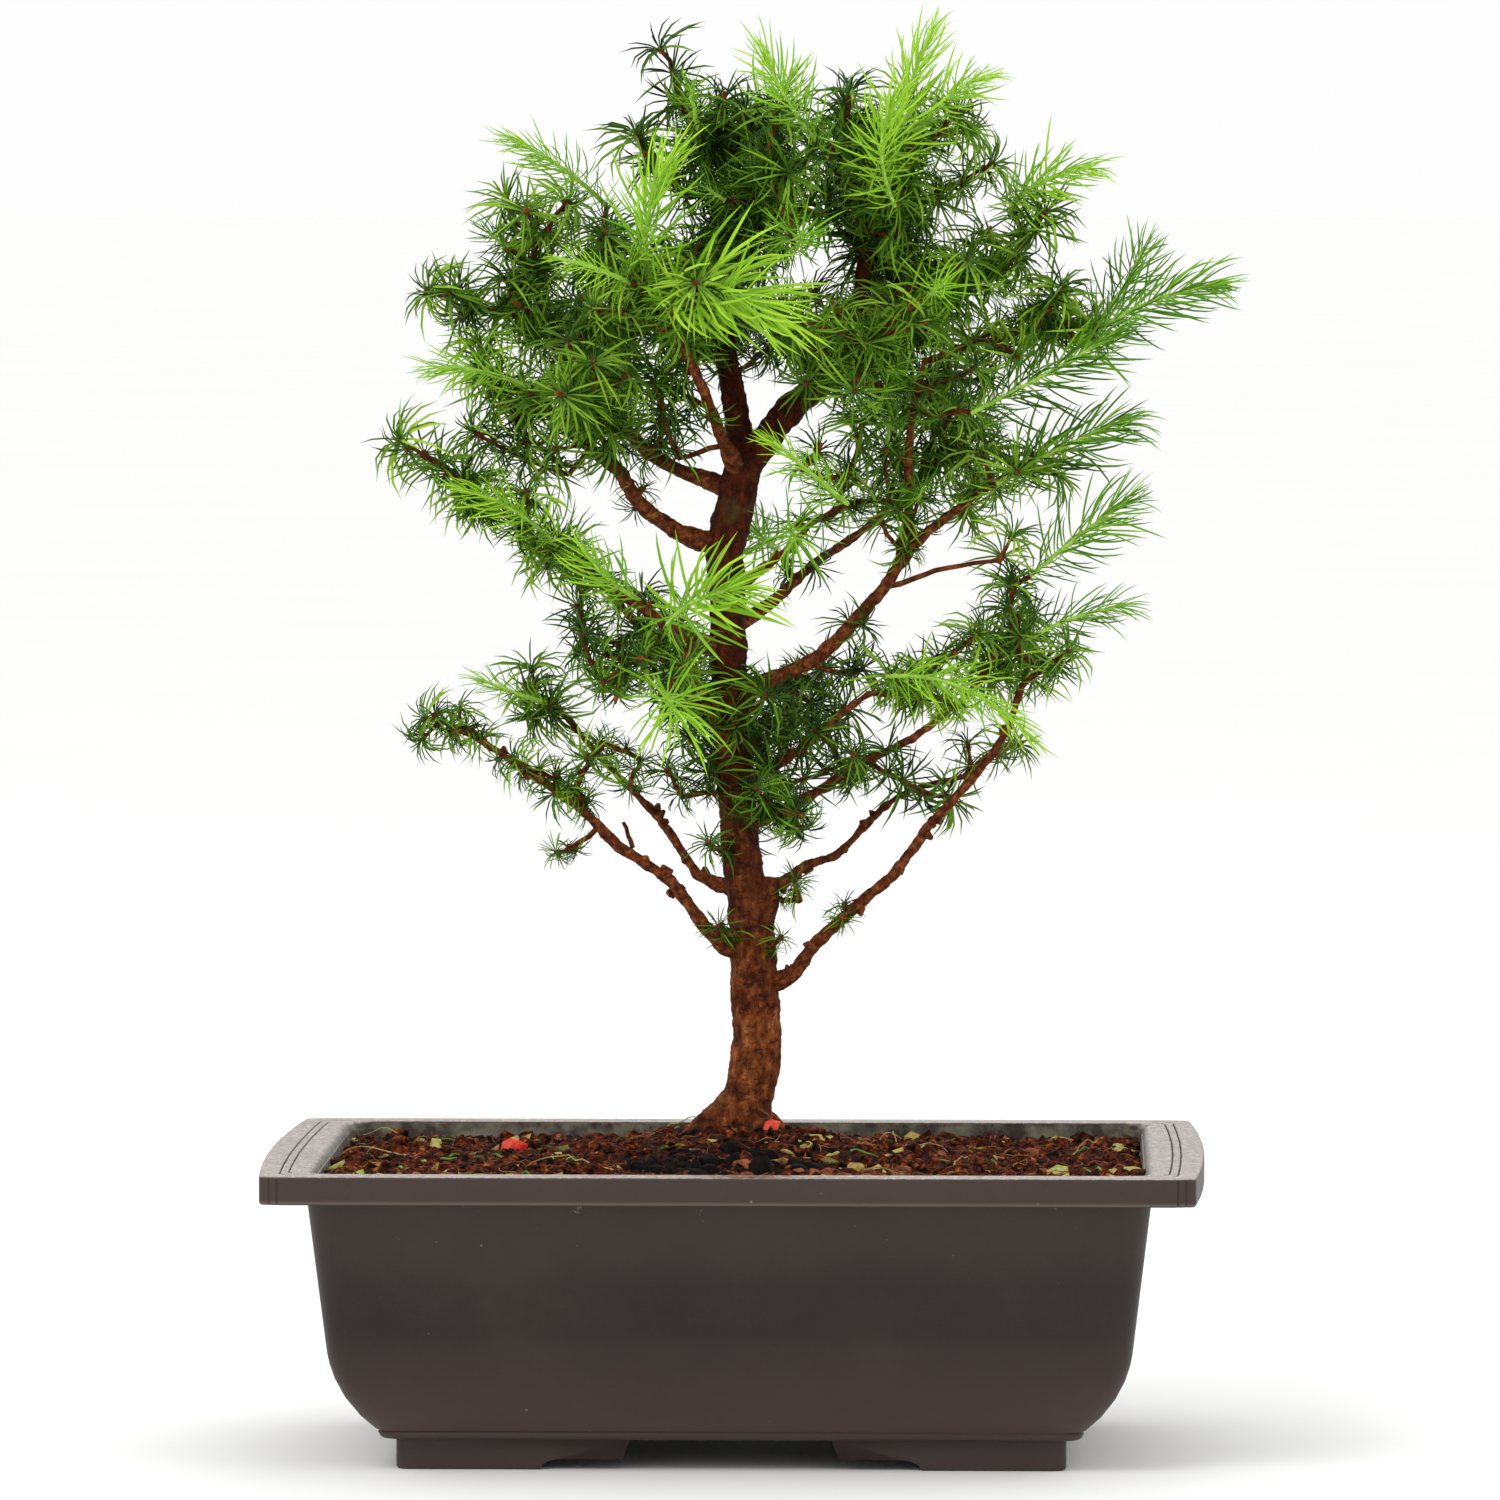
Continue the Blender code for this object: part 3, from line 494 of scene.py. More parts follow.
bed_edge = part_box("soil")[1].z - 0.020
ground = top_patch(bed_edge)
near_clods = top_patch(bed_edge, (POT_MIDDLE.x - 0.003, -0.047), (0.023, 0.020))
near_pebbles = top_patch(bed_edge, (POT_MIDDLE.x + 0.022, -0.055), (0.034, 0.016))
crumbs = [lump(f"crumb_{k}", 1, 0.75, 30 + k) for k in range(4)]
stones = [lump(f"stone_{k}", 2, 0.30, 50 + k) for k in range(3)]
flakes = [lump(f"flake_{k}", 1, 0.8, 60 + k) for k in range(3)]
SCATTER = {  # ground, shapes, finish, smallest, largest, flatness, number to the square metre, seed
    "soil_crumbs": (ground, crumbs, crumb_finish, 0.0006, 0.0022, (0.35, 0.9), 230000.0, 4),
    "soil_lumps": (ground, crumbs, crumb_finish, 0.0016, 0.0036, (0.5, 0.9), 9000.0, 9),
    "stone_chips": (ground, flakes + stones[:1], chip_finish, 0.0008, 0.0034, (0.25, 0.6), 8500.0, 14),
    "pebbles": (ground, stones, pebble_finish, 0.0010, 0.0022, (0.6, 0.9), 3500.0, 21),
    "front_pebbles": (near_pebbles, stones, pebble_finish, 0.0014, 0.0028, (0.6, 0.9), 26000.0, 25),
    "black_clods": (near_clods, stones + crumbs[:2], clod_finish, 0.0016, 0.0042, (0.6, 0.9), 60000.0, 29),
}
for name, (patch, shapes, material, smallest, largest, flat, density, seed) in SCATTER.items():
    tree = scatter(name, shapes, material, smallest, largest, flat, seed)
    piece_of(name, grown_mesh(name, patch.copy(), tree, **{"Per square metre": density}))


def lines_mesh(name, lines):
    """Lines of points as one mesh of edges that carries each point's radius."""
    points, edges, radii = [], [], []
    for line, thick, thin in lines:
        first = len(points)
        points += [tuple(p) for p in line]
        edges += [(first + k, first + k + 1) for k in range(len(line) - 1)]
        radii += list(np.linspace(thick, thin, len(line)))
    made = bpy.data.meshes.new(name)
    made.from_pydata(points, edges, [])
    girths = made.attributes.new("girth", "FLOAT", "POINT")
    girths.data.foreach_set("value", np.array(radii, np.float32))
    return made


def carried(tree, name, kind="FLOAT"):
    """What each point carries under a name."""
    return add(tree, "GeometryNodeInputNamedAttribute", {"Name": name}, data_type=kind).outputs[0]


def skinned(tree, line, radius, sides):
    """A skin of so many sides round a curve, of the radius that each point is given."""
    profile = add(tree, "GeometryNodeCurvePrimitiveCircle", {"Resolution": sides, "Radius": 1.0}).outputs[0]
    sized = add(tree, "GeometryNodeSetCurveRadius", {"Curve": line, "Radius": radius}).outputs[0]
    feeds = {"Curve": sized, "Profile Curve": profile, "Scale": radius, "Fill Caps": True}
    return add(tree, "GeometryNodeCurveToMesh", feeds).outputs[0]


def stems(name, material, sides=6):
    """A tree that gives each line of points a round skin of its own girth."""
    tree, given = geometry_tree(name, [("Sides", "Int", sides), ("Girth", "Float", 1.0)])
    girth = maths(tree, "MULTIPLY", carried(tree, "girth"), given["Girth"])
    line = add(tree, "GeometryNodeMeshToCurve", {0: given["Geometry"]}).outputs[0]
    finish_tree(tree, skinned(tree, line, girth, given["Sides"]), material)
    return tree


def bare(mesh):
    """Drops what only the trees needed."""
    for name in ("aim", "bend", "size", "shade", "tone", "along", "girth"):
        if name in mesh.attributes:
            mesh.attributes.remove(mesh.attributes[name])
    return mesh


cover = bmesh.new()
cover.from_mesh(ground)
soil_skin = BVHTree.FromBMesh(cover)
cover.free()
soil_lines = np.random.default_rng(5)


def soil_at(x, y):
    """The soil's surface at a place, or None off its edge."""
    return soil_skin.ray_cast(Vector((x, y, 0.2)), Vector((0, 0, -1)))[0]


def strand(length, lift, waver):
    """A loose strand that lies on the soil from a random place, its middle lifted a little."""
    while True:
        x = POT_MIDDLE.x + soil_lines.uniform(-0.094, 0.094)
        y = soil_lines.uniform(-0.068, 0.068)
        if soil_at(x, y):
            break
    heading = soil_lines.uniform(0, 6.28)
    count = max(4, round(length / 0.0016))
    line = []
    for k in range(count + 1):
        spot = soil_at(x, y)
        if spot is None:
            break
        line.append(Vector((x, y, spot.z + 0.0004 + lift * math.sin(math.pi * k / count))))
        heading += soil_lines.normal(0, waver)
        x += math.cos(heading) * length / count
        y += math.sin(heading) * length / count
    return line


FIBRE = [(0.35, (70, 30, 12)), (0.55, (138, 84, 44)), (0.7, (190, 146, 92))]
STALK = [(0.4, (150, 124, 70)), (0.6, (186, 170, 104))]
FALLEN = [(0.4, (70, 120, 42)), (0.6, (132, 172, 78))]
LITTER = {  # how many, their lengths, how far they arch, how much they waver, radius, colours
    "coir_fibres": (420, (0.004, 0.014), 0.0011, 0.35, 0.00011, FIBRE),
    "dry_stalks": (12, (0.012, 0.030), 0.0026, 0.05, 0.00021, STALK),
    "fallen_needles": (40, (0.004, 0.009), 0.0012, 0.12, 0.00036, FALLEN),
}
for name, (count, span, lift, waver, girth, stops) in LITTER.items():
    strands = [strand(soil_lines.uniform(*span), lift * soil_lines.random(), waver) for _ in range(count)]
    lines = lines_mesh(name, [(line, girth, girth * 0.6) for line in strands if len(line) > 2])
    tree = stems(name, speckled(f"{name}_finish", 90, stops, 0.7), 5)
    piece_of(name, bare(grown_mesh(name, lines, tree)), smooth=60)

# Scraps of red bark: two together near the left end, and one against the foot of the trunk.
scraps = bmesh.new()
for x, y, size, rise in (
    (POT_MIDDLE.x - 0.056, 0.030, 0.0026, 0.6),
    (POT_MIDDLE.x - 0.0535, 0.0285, 0.0017, 0.6),
    (POT_MIDDLE.x + 0.0085, -0.0125, 0.0020, 1.1),
):
    scrap = lump("scrap", 1, 0.8, 71).data
    middle = soil_at(x, y) + Vector((0, 0, size * rise))
    for vert in scrap.vertices:
        vert.co = Vector((vert.co.x * size, vert.co.y * size * 0.6, vert.co.z * size * 0.9)) + middle
    scraps.from_mesh(scrap)
piece_of("red_scraps", mesh_of(scraps, "red_scraps"), red_finish)


# ---- Trunk and branches
# Rough flaking bark, tan near the soil and red-brown in the crown. The branches are sunk into the
# limb that carries them, with a collar, and old leaf bases leave small knobs all along.

SOIL_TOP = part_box("soil")[1].z
TOUCH = 0.0006

bark_finish, tree, shader = finish_of("bark", 0.78, 0.14)
place = own_place(tree)
plates = grain(tree, place, 420, 9, 0.76, stretch=(1, 1, 0.5))
low_bark = [(0.32, (50, 17, 4)), (0.45, (106, 50, 18)), (0.56, (150, 84, 38)), (0.7, (200, 138, 80))]
high_bark = [(0.32, (18, 5, 0)), (0.45, (52, 17, 2)), (0.57, (84, 33, 7)), (0.72, (128, 62, 22))]
tan, red_brown = shades(tree, plates, low_bark), shades(tree, plates, high_bark)
up_the_trunk = ranged(tree, part_of(tree, place, "Z"), SOIL_TOP, SOIL_TOP + 0.085)
bark = blended(tree, up_the_trunk, tan, red_brown)
bark = blended(tree, ranged(tree, grain(tree, place, 75, 4), 0.44, 0.58, high=0.65), bark, red_brown)
cracks = grain(tree, place, 640, 6, 0.74, stretch=(0.4, 0.4, 1))
bark = blended(tree, ranged(tree, cracks, 0.46, 0.39, high=0.8), bark, (34, 12, 4))
moss = ranged(tree, grain(tree, place, 70, 5), 0.62, 0.74, high=0.3)
feed(tree, shader.inputs["Base Color"], blended(tree, moss, bark, (92, 98, 52)))
roughened(tree, shader, grain(tree, place, 1400, 5, stretch=(1, 1, 0.6)), 0.8, 0.0006)
roughened(tree, shader, cracks, 0.6, 0.0007)

twig_finish, tree, shader = finish_of("twig_bark", 0.75, 0.14)
place = own_place(tree)
twig_browns = [(0.3, (36, 12, 3)), (0.47, (84, 38, 13)), (0.58, (120, 62, 26)), (0.74, (168, 106, 58))]
feed(tree, shader.inputs["Base Color"], shades(tree, grain(tree, place, 620, 6, 0.65), twig_browns))
roughened(tree, shader, grain(tree, place, 1500, 4), 0.6, 0.0004)

WOOD = sorted(node for node in frame["nodes"] if node == "trunk" or node.startswith("branch_"))
skins = {}
for node in WOOD:
    shell = solid_of(node)
    skins[node] = BVHTree.FromBMesh(shell)
    shell.free()


def carrier_of(points, but):
    """The limb that a piece grows from, which of its points lie against it, and their middle."""
    most, carrier, touching = 0, None, None
    for node, skin in skins.items():
        if node == but:
            continue
        near = [skin.find_nearest(point)[3] < TOUCH for point in points]
        if sum(near) > most:
            most, carrier, touching = sum(near), node, near
    root = sum((point for point, near in zip(points, touching) if near), Vector()) / most
    return carrier, touching, root


branch_roots = {}
limbs = bmesh.new()
for node in WOOD:
    shell = solid_of(node)
    if node == "trunk":
        trunk_mesh = mesh_of(shell, node)
        continue
    carrier, touching, root = carrier_of([vert.co.copy() for vert in shell.verts], node)
    branch_roots[node] = root
    for vert, near in zip(shell.verts, touching):
        away = (vert.co - root).length
        if near:
            vert.co -= skins[carrier].find_nearest(vert.co)[1] * 0.0016
        vert.co += vert.normal * 0.0010 * math.exp(-((away / 0.0050) ** 2))
    limbs.from_mesh(mesh_of(shell, node))


def barked(name, blank, voxel, material, furrows, flakes):
    """Wood with an even skin, then furrows and flakes: a depth and a number to the metre of each."""
    tree, given = geometry_tree(name, [
        ("Furrow depth", "Float", furrows[0]),
        ("Furrows per metre", "Float", furrows[1]),
        ("Flake depth", "Float", flakes[0]),
        ("Flakes per metre", "Float", flakes[1]),
    ])
    depth = rumpled(tree, given, [("Furrow depth", "Furrows per metre"), ("Flake depth", "Flakes per metre")])
    facing = add(tree, "GeometryNodeInputNormal").outputs[0]
    push = add(tree, "ShaderNodeVectorMath", {0: facing, "Scale": depth}, operation="SCALE").outputs[0]
    feeds = {"Geometry": given["Geometry"], "Offset": push}
    finish_tree(tree, add(tree, "GeometryNodeSetPosition", feeds).outputs[0], material)
    return grown_mesh(name, even_skin(f"{name}_blank", blank, voxel), tree)


mesh = barked("trunk_wood", trunk_mesh, 0.00045, bark_finish, (0.0022, 190.0), (0.0010, 620.0))
trunk = piece_of("trunk_wood", mesh, smooth=180)
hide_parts("trunk")
limbs_mesh = mesh_of(limbs, "limbs")
mesh = barked("branch_wood", limbs_mesh, 0.00040, twig_finish, (0.0014, 260.0), (0.0006, 700.0))
limb_wood = piece_of("branch_wood", mesh, smooth=180)
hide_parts(*[node for node in WOOD if node != "trunk"])


# ---- Twigs and shoots
# Thin twigs fork from the branches and hold short woody spurs every few millimetres. This year's
# shoots are soft green stems that grow out of the twigs. The longest of them face the front.

rng = np.random.default_rng(11)
TWIG = 0.00062
STEM = (0.00062, 0.00034)
SUNK = 0.0006
SPUR_STEP = 0.0052
GOLDEN_TURN = 2.4
TRUNK_FOOT = Vector((POT_MIDDLE.x, 0, 0.0770))
CROWN_TOP = TRUNK_FOOT.z + 0.243

# The main shoots, from the foot of the trunk in millimetres: where each stem passes, how long its
# needles grow, and how far they are from green to yellow.
SHOOTS = [
    ([(-16, -44, 197), (-5, -54, 200), (9, -60, 197)], 26, 0.72),
    ([(-19, -30, 202), (-20, -42, 216), (-14, -48, 231)], 18, 0.62),
    ([(-31, -5, 220), (-41, -18, 229), (-53, -24, 236)], 12, 0.50),
    ([(22, -20, 232), (14, -34, 243), (8, -38, 255)], 15, 0.60),
    ([(36, -18, 226), (40, -26, 243), (46, -26, 260)], 16, 0.78),
    ([(38, -24, 220), (35, -34, 233), (38, -40, 245)], 15, 0.72),
    ([(42, -16, 236), (50, -28, 245), (58, -34, 250)], 14, 0.72),
    ([(65, -6, 218), (71, -18, 225), (84, -28, 229)], 16, 0.62),
    ([(81, -4, 187), (98, -6, 197), (114, -4, 201)], 17, 0.18),
    ([(85, 8, 191), (92, 14, 200), (97, 18, 210)], 13, 0.10),
    ([(56, -14, 171), (75, -18, 181), (90, -20, 190)], 17, 0.07),
    ([(62, -10, 154), (78, -14, 163), (92, -14, 169)], 18, 0.06),
    ([(70, -8, 132), (82, -12, 142), (93, -14, 150)], 16, 0.22),
    ([(68, -6, 116), (80, -10, 122), (92, -12, 125)], 13, 0.14),
    ([(36, -30, 109), (54, -40, 107), (70, -46, 96)], 13, 0.60),
    ([(-15, -46, 122), (-8, -58, 128), (2, -66, 131)], 23, 0.62),
    ([(-15, -50, 106), (-12, -64, 101)], 20, 0.60),
    ([(14, -40, 145), (15, -53, 142)], 17, 0.34),
    ([(27, -34, 150), (18, -44, 158), (10, -48, 165)], 12, 0.60),
    ([(-40, -10, 136), (-51, -20, 147), (-64, -24, 153)], 13, 0.60),
    ([(-46, 4, 101), (-54, -2, 104), (-61, -4, 107)], 9, 0.45),
    ([(-24, -38, 202), (-33, -48, 206), (-41, -54, 208)], 8, 0.80),
    ([(-49, -16, 177), (-60, -24, 181), (-71, -28, 182)], 12, 0.48),
    ([(-22, -30, 127), (-29, -36, 132), (-34, -38, 138)], 15, 0.55),
    ([(46, -30, 199), (50, -44, 202)], 11, 0.55),
    ([(15, -40, 210), (17, -54, 214)], 14, 0.35),
    ([(-9, -26, 238), (-10, -36, 248)], 10, 0.15),
]

# Older twigs that reach past the rest, in the same millimetres, and the length of their needles.
LEADERS = [
    ([(-61, -12, 151), (-70, -14, 158), (-79, -16, 164)], 13.0),
    ([(-31, -12, 105), (-36, -12, 116), (-37, -12, 129)], 12.0),
    ([(-32, -4, 92), (-35, -10, 89)], 9.0),
    ([(-23, -6, 88), (-25, -10, 83)], 8.0),
    ([(39, -12, 105), (49, -14, 112), (57, -16, 118)], 11.5),
    ([(68, -6, 113), (65, -8, 129)], 11.0),
    ([(-14, -8, 160), (-17, -12, 169), (-19, -14, 177)], 11.0),
    ([(24, -8, 150), (28, -12, 159), (30, -14, 168)], 11.5),
    ([(16, -12, 157), (19, -16, 161)], 10.0),
    ([(-4, -8, 234), (-3, -12, 244)], 12.0),
    ([(-25, -4, 67), (-27, -8, 73)], 8.0),
    ([(-13, -6, 79), (-16, -10, 85)], 8.5),
    ([(-11, -10, 222), (-19, -14, 229), (-23, -16, 236)], 12.5),
    ([(-7, -10, 235), (-12, -16, 244)], 12.5),
    ([(38, -12, 213), (40, -18, 226)], 12.0),
    ([(63, -8, 204), (69, -12, 212), (73, -14, 218)], 12.5),
    ([(-51, -6, 168), (-58, -10, 177), (-61, -12, 187)], 11.5),
    ([(-40, -6, 156), (-53, -8, 161), (-62, -8, 166)], 11.5),
    ([(71, -6, 191), (77, -10, 200)], 12.0),
    ([(27, -6, 86), (28, -12, 89)], 8.5),
    ([(15, -4, 54), (14, -10, 59)], 6.5),
    ([(-40, -4, 66), (-43, -8, 66)], 6.0),
    ([(-36, -6, 78), (-40, -10, 81)], 7.5),
    ([(-42, -8, 83), (-52, -10, 88)], 8.5),
    ([(6, -10, 230), (2, -14, 241)], 12.0),
    ([(25, -6, 236), (27, -8, 246)], 12.0),
    ([(-3, -6, 46), (-4, -11, 48)], 6.5),
    ([(8, -4, 43), (10, -7, 45)], 5.5),
    ([(24, -1, 48), (25, -5, 50)], 5.5),
    ([(-4, -6, 66), (-6, -11, 68)], 8.0),
]

# Places that stay open, so that the wood shows: across and up in millimetres, then how far.
GAPS = [
    (28, 136, 7), (53, 136, 6), (40, 127, 3), (15, 123, 4), (-33, 152, 6), (7, 147, 5),
    (-11, 134, 4), (8, 116, 4), (20, 169, 4), (-1, 155, 8), (-1, 137, 6), (0, 119, 6), (2, 173, 6),
    (63, 81, 5), (29, 71, 6), (-28, 66, 4), (-9, 155, 2),
]

twigs = []  # each is its points, its radius at the base and at the tip
shoots = []  # the same, for soft green stems
# Near the trunk a star's freshness is later lowered, as painted shade.
rosettes = []  # each is a place, an aim, a size and a freshness from 0 to 1
knobs = []  # the same, for bare spurs and old leaf bases
buds = []  # the same, for the scaly buds on some tips
leaves = []  # single needles on the green stems: the same, and the way that each one bends
anchors = []  # points of the twigs that a shoot can grow from


def crowded_out(spot):
    """Whether a spur at this place would hide one of the open places."""
    off = spot - TRUNK_FOOT
    for across, up, reach in GAPS:
        apart = math.hypot(off.x * 1000 - across, off.z * 1000 - up)
        if apart < reach + 2 or (apart < reach + 7 and rng.random() < 0.5):
            return True
    return False


def turned(direction, tilt, spin):
    """A direction tilted away from another, at some turn round it."""
    side = direction.orthogonal().normalized()
    other = direction.cross(side)
    around = math.cos(spin) * side + math.sin(spin) * other
    return (math.cos(tilt) * direction + math.sin(tilt) * around).normalized()


def wander(start, direction, length, lift, step=0.003, waver=0.16):
    """A slightly crooked line of points that bends upwards by its lift."""
    line = [start.copy()]
    aim = direction.normalized()
    for _ in range(max(2, round(length / step))):
        aim = (aim + Vector(rng.normal(0, waver, 3)) + Vector((0, 0, lift))).normalized()
        line.append(line[-1] + aim * step)
    return line


def bend_at(start, middle, end, t):
    """A point of the curve that leaves one place towards a middle and comes into another."""
    return (1 - t) ** 2 * start + 2 * t * (1 - t) * middle + t**2 * end


def bowed(start, end, rise, step=0.003):
    """A line from one place to another that rises in its middle."""
    middle = (start + end) / 2 + Vector((0, 0, rise))
    count = max(3, round((end - start).length / step))
    line = []
    for k in range(count + 1):
        wobble = Vector(rng.normal(0, 0.0003, 3)) if 0 < k < count else Vector()
        line.append(bend_at(start, middle, end, k / count) + wobble)
    return line


def through(places):
    """A smooth line through two or three places given in millimetres from the foot of the trunk."""
    stops = [TRUNK_FOOT + Vector(place) * 0.001 for place in places]
    if len(stops) == 2:
        return bowed(*stops, 0.0, 0.002)
    middle = 2 * stops[1] - (stops[0] + stops[2]) / 2
    count = round((stops[2] - stops[0]).length / 0.0025)
    return [bend_at(stops[0], middle, stops[2], k / count) for k in range(count + 1)]


def length_of(line):
    return sum((b - a).length for a, b in zip(line, line[1:]))


def dress(line, first, girth, fresh=0.0, end=True, sparse=1.0):
    """Puts rosettes along a line of points, from a share of its length to its tip."""
    spin = rng.uniform(0, 6.28)
    done = 0.0
    due = first * length_of(line)
    for a, b in zip(line, line[1:]):
        span = (b - a).length
        while due <= done + span:
            spot = a + (b - a) * ((due - done) / span)
            spin += GOLDEN_TURN + rng.uniform(-0.4, 0.4)
            aim = turned((b - a).normalized(), rng.uniform(0.9, 1.35), spin)
            if not crowded_out(spot):
                rosettes.append((spot, aim, girth * rng.uniform(0.7, 1.15), fresh * rng.random()))
            due += SPUR_STEP * sparse * rng.uniform(0.75, 1.3)
        done += span
    if end and not crowded_out(line[-1]):
        ahead = (line[-1] - line[-2]).normalized()
        rosettes.append((line[-1], ahead, girth * 1.1, max(fresh, 0.35 * rng.random())))
        if rng.random() < 0.12:
            buds.append((line[-1] + ahead * 0.0010, ahead, rng.uniform(0.8, 1.2), 0.0))


def leaf_out(stem, reach, shade):
    """Sets needles singly round a green stem: spread wide at its foot, gathered forward at its tip."""
    spin = rng.uniform(0, 6.28)
    number = max(32, round(length_of(stem) / 0.00034))
    widest, gathered = (1.5, 1.15) if length_of(stem) < 0.016 else (1.2, 0.85)
    for k in range(number):
        t = (k + rng.random()) / number
        along = t * (len(stem) - 1.001)
        low = int(along)
        spot = stem[low].lerp(stem[low + 1], along - low)
        spin += GOLDEN_TURN
        ahead = (stem[low + 1] - stem[low]).normalized()
        tilt = widest - gathered * t**1.8 + rng.normal(0, 0.19)
        length = reach * (0.62 + 0.38 * math.sin(math.pi * t**0.8)) * rng.uniform(0.75, 1.12)
        bend = ahead + Vector(rng.normal(0, 0.25, 3)) + Vector((0, 0, -0.35))
        tone = shade + 0.3 * (t - 0.6) + rng.uniform(-0.15, 0.15)
        leaves.append((spot, turned(ahead, tilt, spin), length, tone, bend))


def side_twig(start, aim, length, fresh, girth=0.0114):
    """A side twig with rosettes. One in nine ends in a short green shoot."""
    line = wander(start - aim * SUNK, aim, length, 0.06)
    if crowded_out(start) or crowded_out(line[-1]) or line[-1].z > CROWN_TOP:
        return
    if rng.random() < 0.11 and len(line) > 4:
        fork = len(line) // 2
        shoots.append((line[fork:], 0.0005, 0.0003))
        leaf_out(line[fork:], 0.0105, 0.12)
        line = line[: fork + 1]
        twigs.append((line, TWIG, TWIG * 0.8))
        dress(line, 0.2, girth, fresh, end=False)
    else:
        twigs.append((line, TWIG, TWIG * 0.7))
        dress(line, 0.2, girth, fresh)


def linked(start, girth):
    """A twig from the nearest wood or twig to the start of a shoot."""
    root = min(anchors, key=lambda p: (p - start).length)
    for skin in skins.values():
        spot, normal, _, gap = skin.find_nearest(start)
        if gap < (root - start).length:
            root = spot - normal * SUNK
    if (root - start).length > 0.0015:
        link = bowed(root, start, 0.0)
        twigs.append((link, TWIG * 1.25, TWIG * 1.05))
        dress(link, 0.1, girth, 0.3, end=False, sparse=1.1)


main_stems = [(through(places), reach * 0.001, shade) for places, reach, shade in SHOOTS]

# Each spray has a twig down its middle, with side twigs. A young one ends in a green shoot.
slots = {item["node"]: item["material_slot"] for item in frame["record"]["subparts"]}
SPRAYS = sorted(node for node in frame["nodes"] if node.startswith("needles_"))
for node in SPRAYS:
    shell = solid_of(node)
    points = [vert.co.copy() for vert in shell.verts]
    shell.free()
    carrier, _, root = carrier_of(points, node)
    spot, normal, _, _ = skins[carrier].find_nearest(root)
    start = spot - normal * 0.0008
    tip = max(points, key=lambda p: (p - start).length)
    length = (tip - start).length
    ahead = (tip - start).normalized()
    width = max((p - start - (p - start).project(ahead)).length for p in points)
    young = slots[node] == "young_needles"
    spine = bowed(start, tip - ahead * (0.006 if young else 0.004), 0.06 * length)
    count = len(spine)
    led = any((stem[-1] - tip).length < 0.036 for stem, _, _ in main_stems)
    split = round(count * (0.12 if carrier.startswith("branch_front") else 0.45)) if young else count - 1
    wood = spine[: split + 1]
    twigs.append((wood, TWIG * 1.35, TWIG * 0.9))
    outer = abs(tip.x) > 0.058 or tip.z < SOIL_TOP + 0.13
    girth = 0.0088 if tip.z < SOIL_TOP + 0.11 else 0.0118
    dress(wood, 0.12, girth, 0.35 if young else 0.12, end=not young)
    anchors += wood
    offshoots = max(3, round(length / (0.0080 if outer else 0.0036)))
    for k in range(offshoots):
        share = 0.12 + 0.8 * (k + rng.uniform(0, 0.8)) / offshoots
        if young and share * count > split + 1:
            continue
        at = spine[min(int(share * count), count - 2)]
        onward = (spine[min(int(share * count) + 1, count - 1)] - at).normalized()
        aim = turned(onward, rng.uniform(0.6, 1.15), k * GOLDEN_TURN + rng.uniform(-0.5, 0.5))
        reach = rng.uniform(0.6, 1.1) * width * (0.8 if outer else 1.6)
        side_twig(at, aim, reach, 0.4 if young else 0.2, girth)
    if young and not led:
        shoots.append((spine[split:], *STEM))
        leaf_out(spine[split:], 0.015, 0.4)

for places, reach in LEADERS:
    line = through(places)
    linked(line[0], reach * 0.0009)
    twigs.append((line, TWIG * 1.1, TWIG * 0.8))
    dress(line, 0.1, reach * 0.001, 0.25, sparse=0.7)
    anchors += line

for stem, reach, shade in main_stems:
    linked(stem[0], 0.0105)
    shoots.append((stem, *STEM))
    leaf_out(stem, reach, shade)

# Spurs and side twigs also stand straight on the branches and on the upper trunk. The lowest limbs
# and the bare foot of the trunk mostly have knobs instead.
LOW_LIMBS = ("branch_left_low", "branch_right_low", "branch_left_second", "branch_right_second")
for node in WOOD:
    shell = solid_of(node)
    bmesh.ops.triangulate(shell, faces=shell.faces)
    faces = list(shell.faces)
    weights = np.array([face.calc_area() for face in faces])
    total = weights.sum()
    low_limb = node in LOW_LIMBS
    per_area = 1 / 0.00006 if node == "trunk" else 1 / 0.000046
    for index in rng.choice(len(faces), round(total * per_area), p=weights / total):
        face = faces[index]
        a, b, c = [vert.co for vert in face.verts]
        u, v = sorted(rng.random(2))
        spot = a * u + b * (v - u) + c * (1 - v)
        aim = (face.normal + Vector(rng.normal(0, 0.35, 3)) + Vector((0, 0, 0.25))).normalized()
        if spot.z < SOIL_TOP + 0.004:
            continue
        if node == "trunk" and spot.z <= SOIL_TOP + 0.080:
            if rng.random() < 0.15 and spot.z > SOIL_TOP + 0.012:
                knobs.append((spot, aim, rng.uniform(0.6, 0.9), 0.0))
            if spot.z > SOIL_TOP + 0.040 and rng.random() < 0.05:
                rosettes.append((spot, aim, rng.uniform(0.0045, 0.0070), 0.2))
        elif low_limb and rng.random() > 0.03 + (spot - branch_roots[node]).length / 0.115:
            knobs.append((spot, aim, rng.uniform(0.6, 1.1), 0.0))
        elif low_limb and rng.random() < 0.35:
            knobs.append((spot, aim, rng.uniform(0.7, 1.4), 0.0))
        elif not low_limb and rng.random() < 0.42:
            longest = 0.014 if abs(spot.x) > 0.045 else 0.030
            side_twig(spot, aim, rng.uniform(0.007, longest), 0.2)
        elif not crowded_out(spot):
            rosettes.append((spot, aim, rng.uniform(0.0060, 0.0105), 0.25 * rng.random()))
    shell.free()

mesh = grown_mesh("twigs", lines_mesh("twig_lines", twigs), stems("twigs", twig_finish))
piece_of("twigs", bare(mesh), smooth=60)

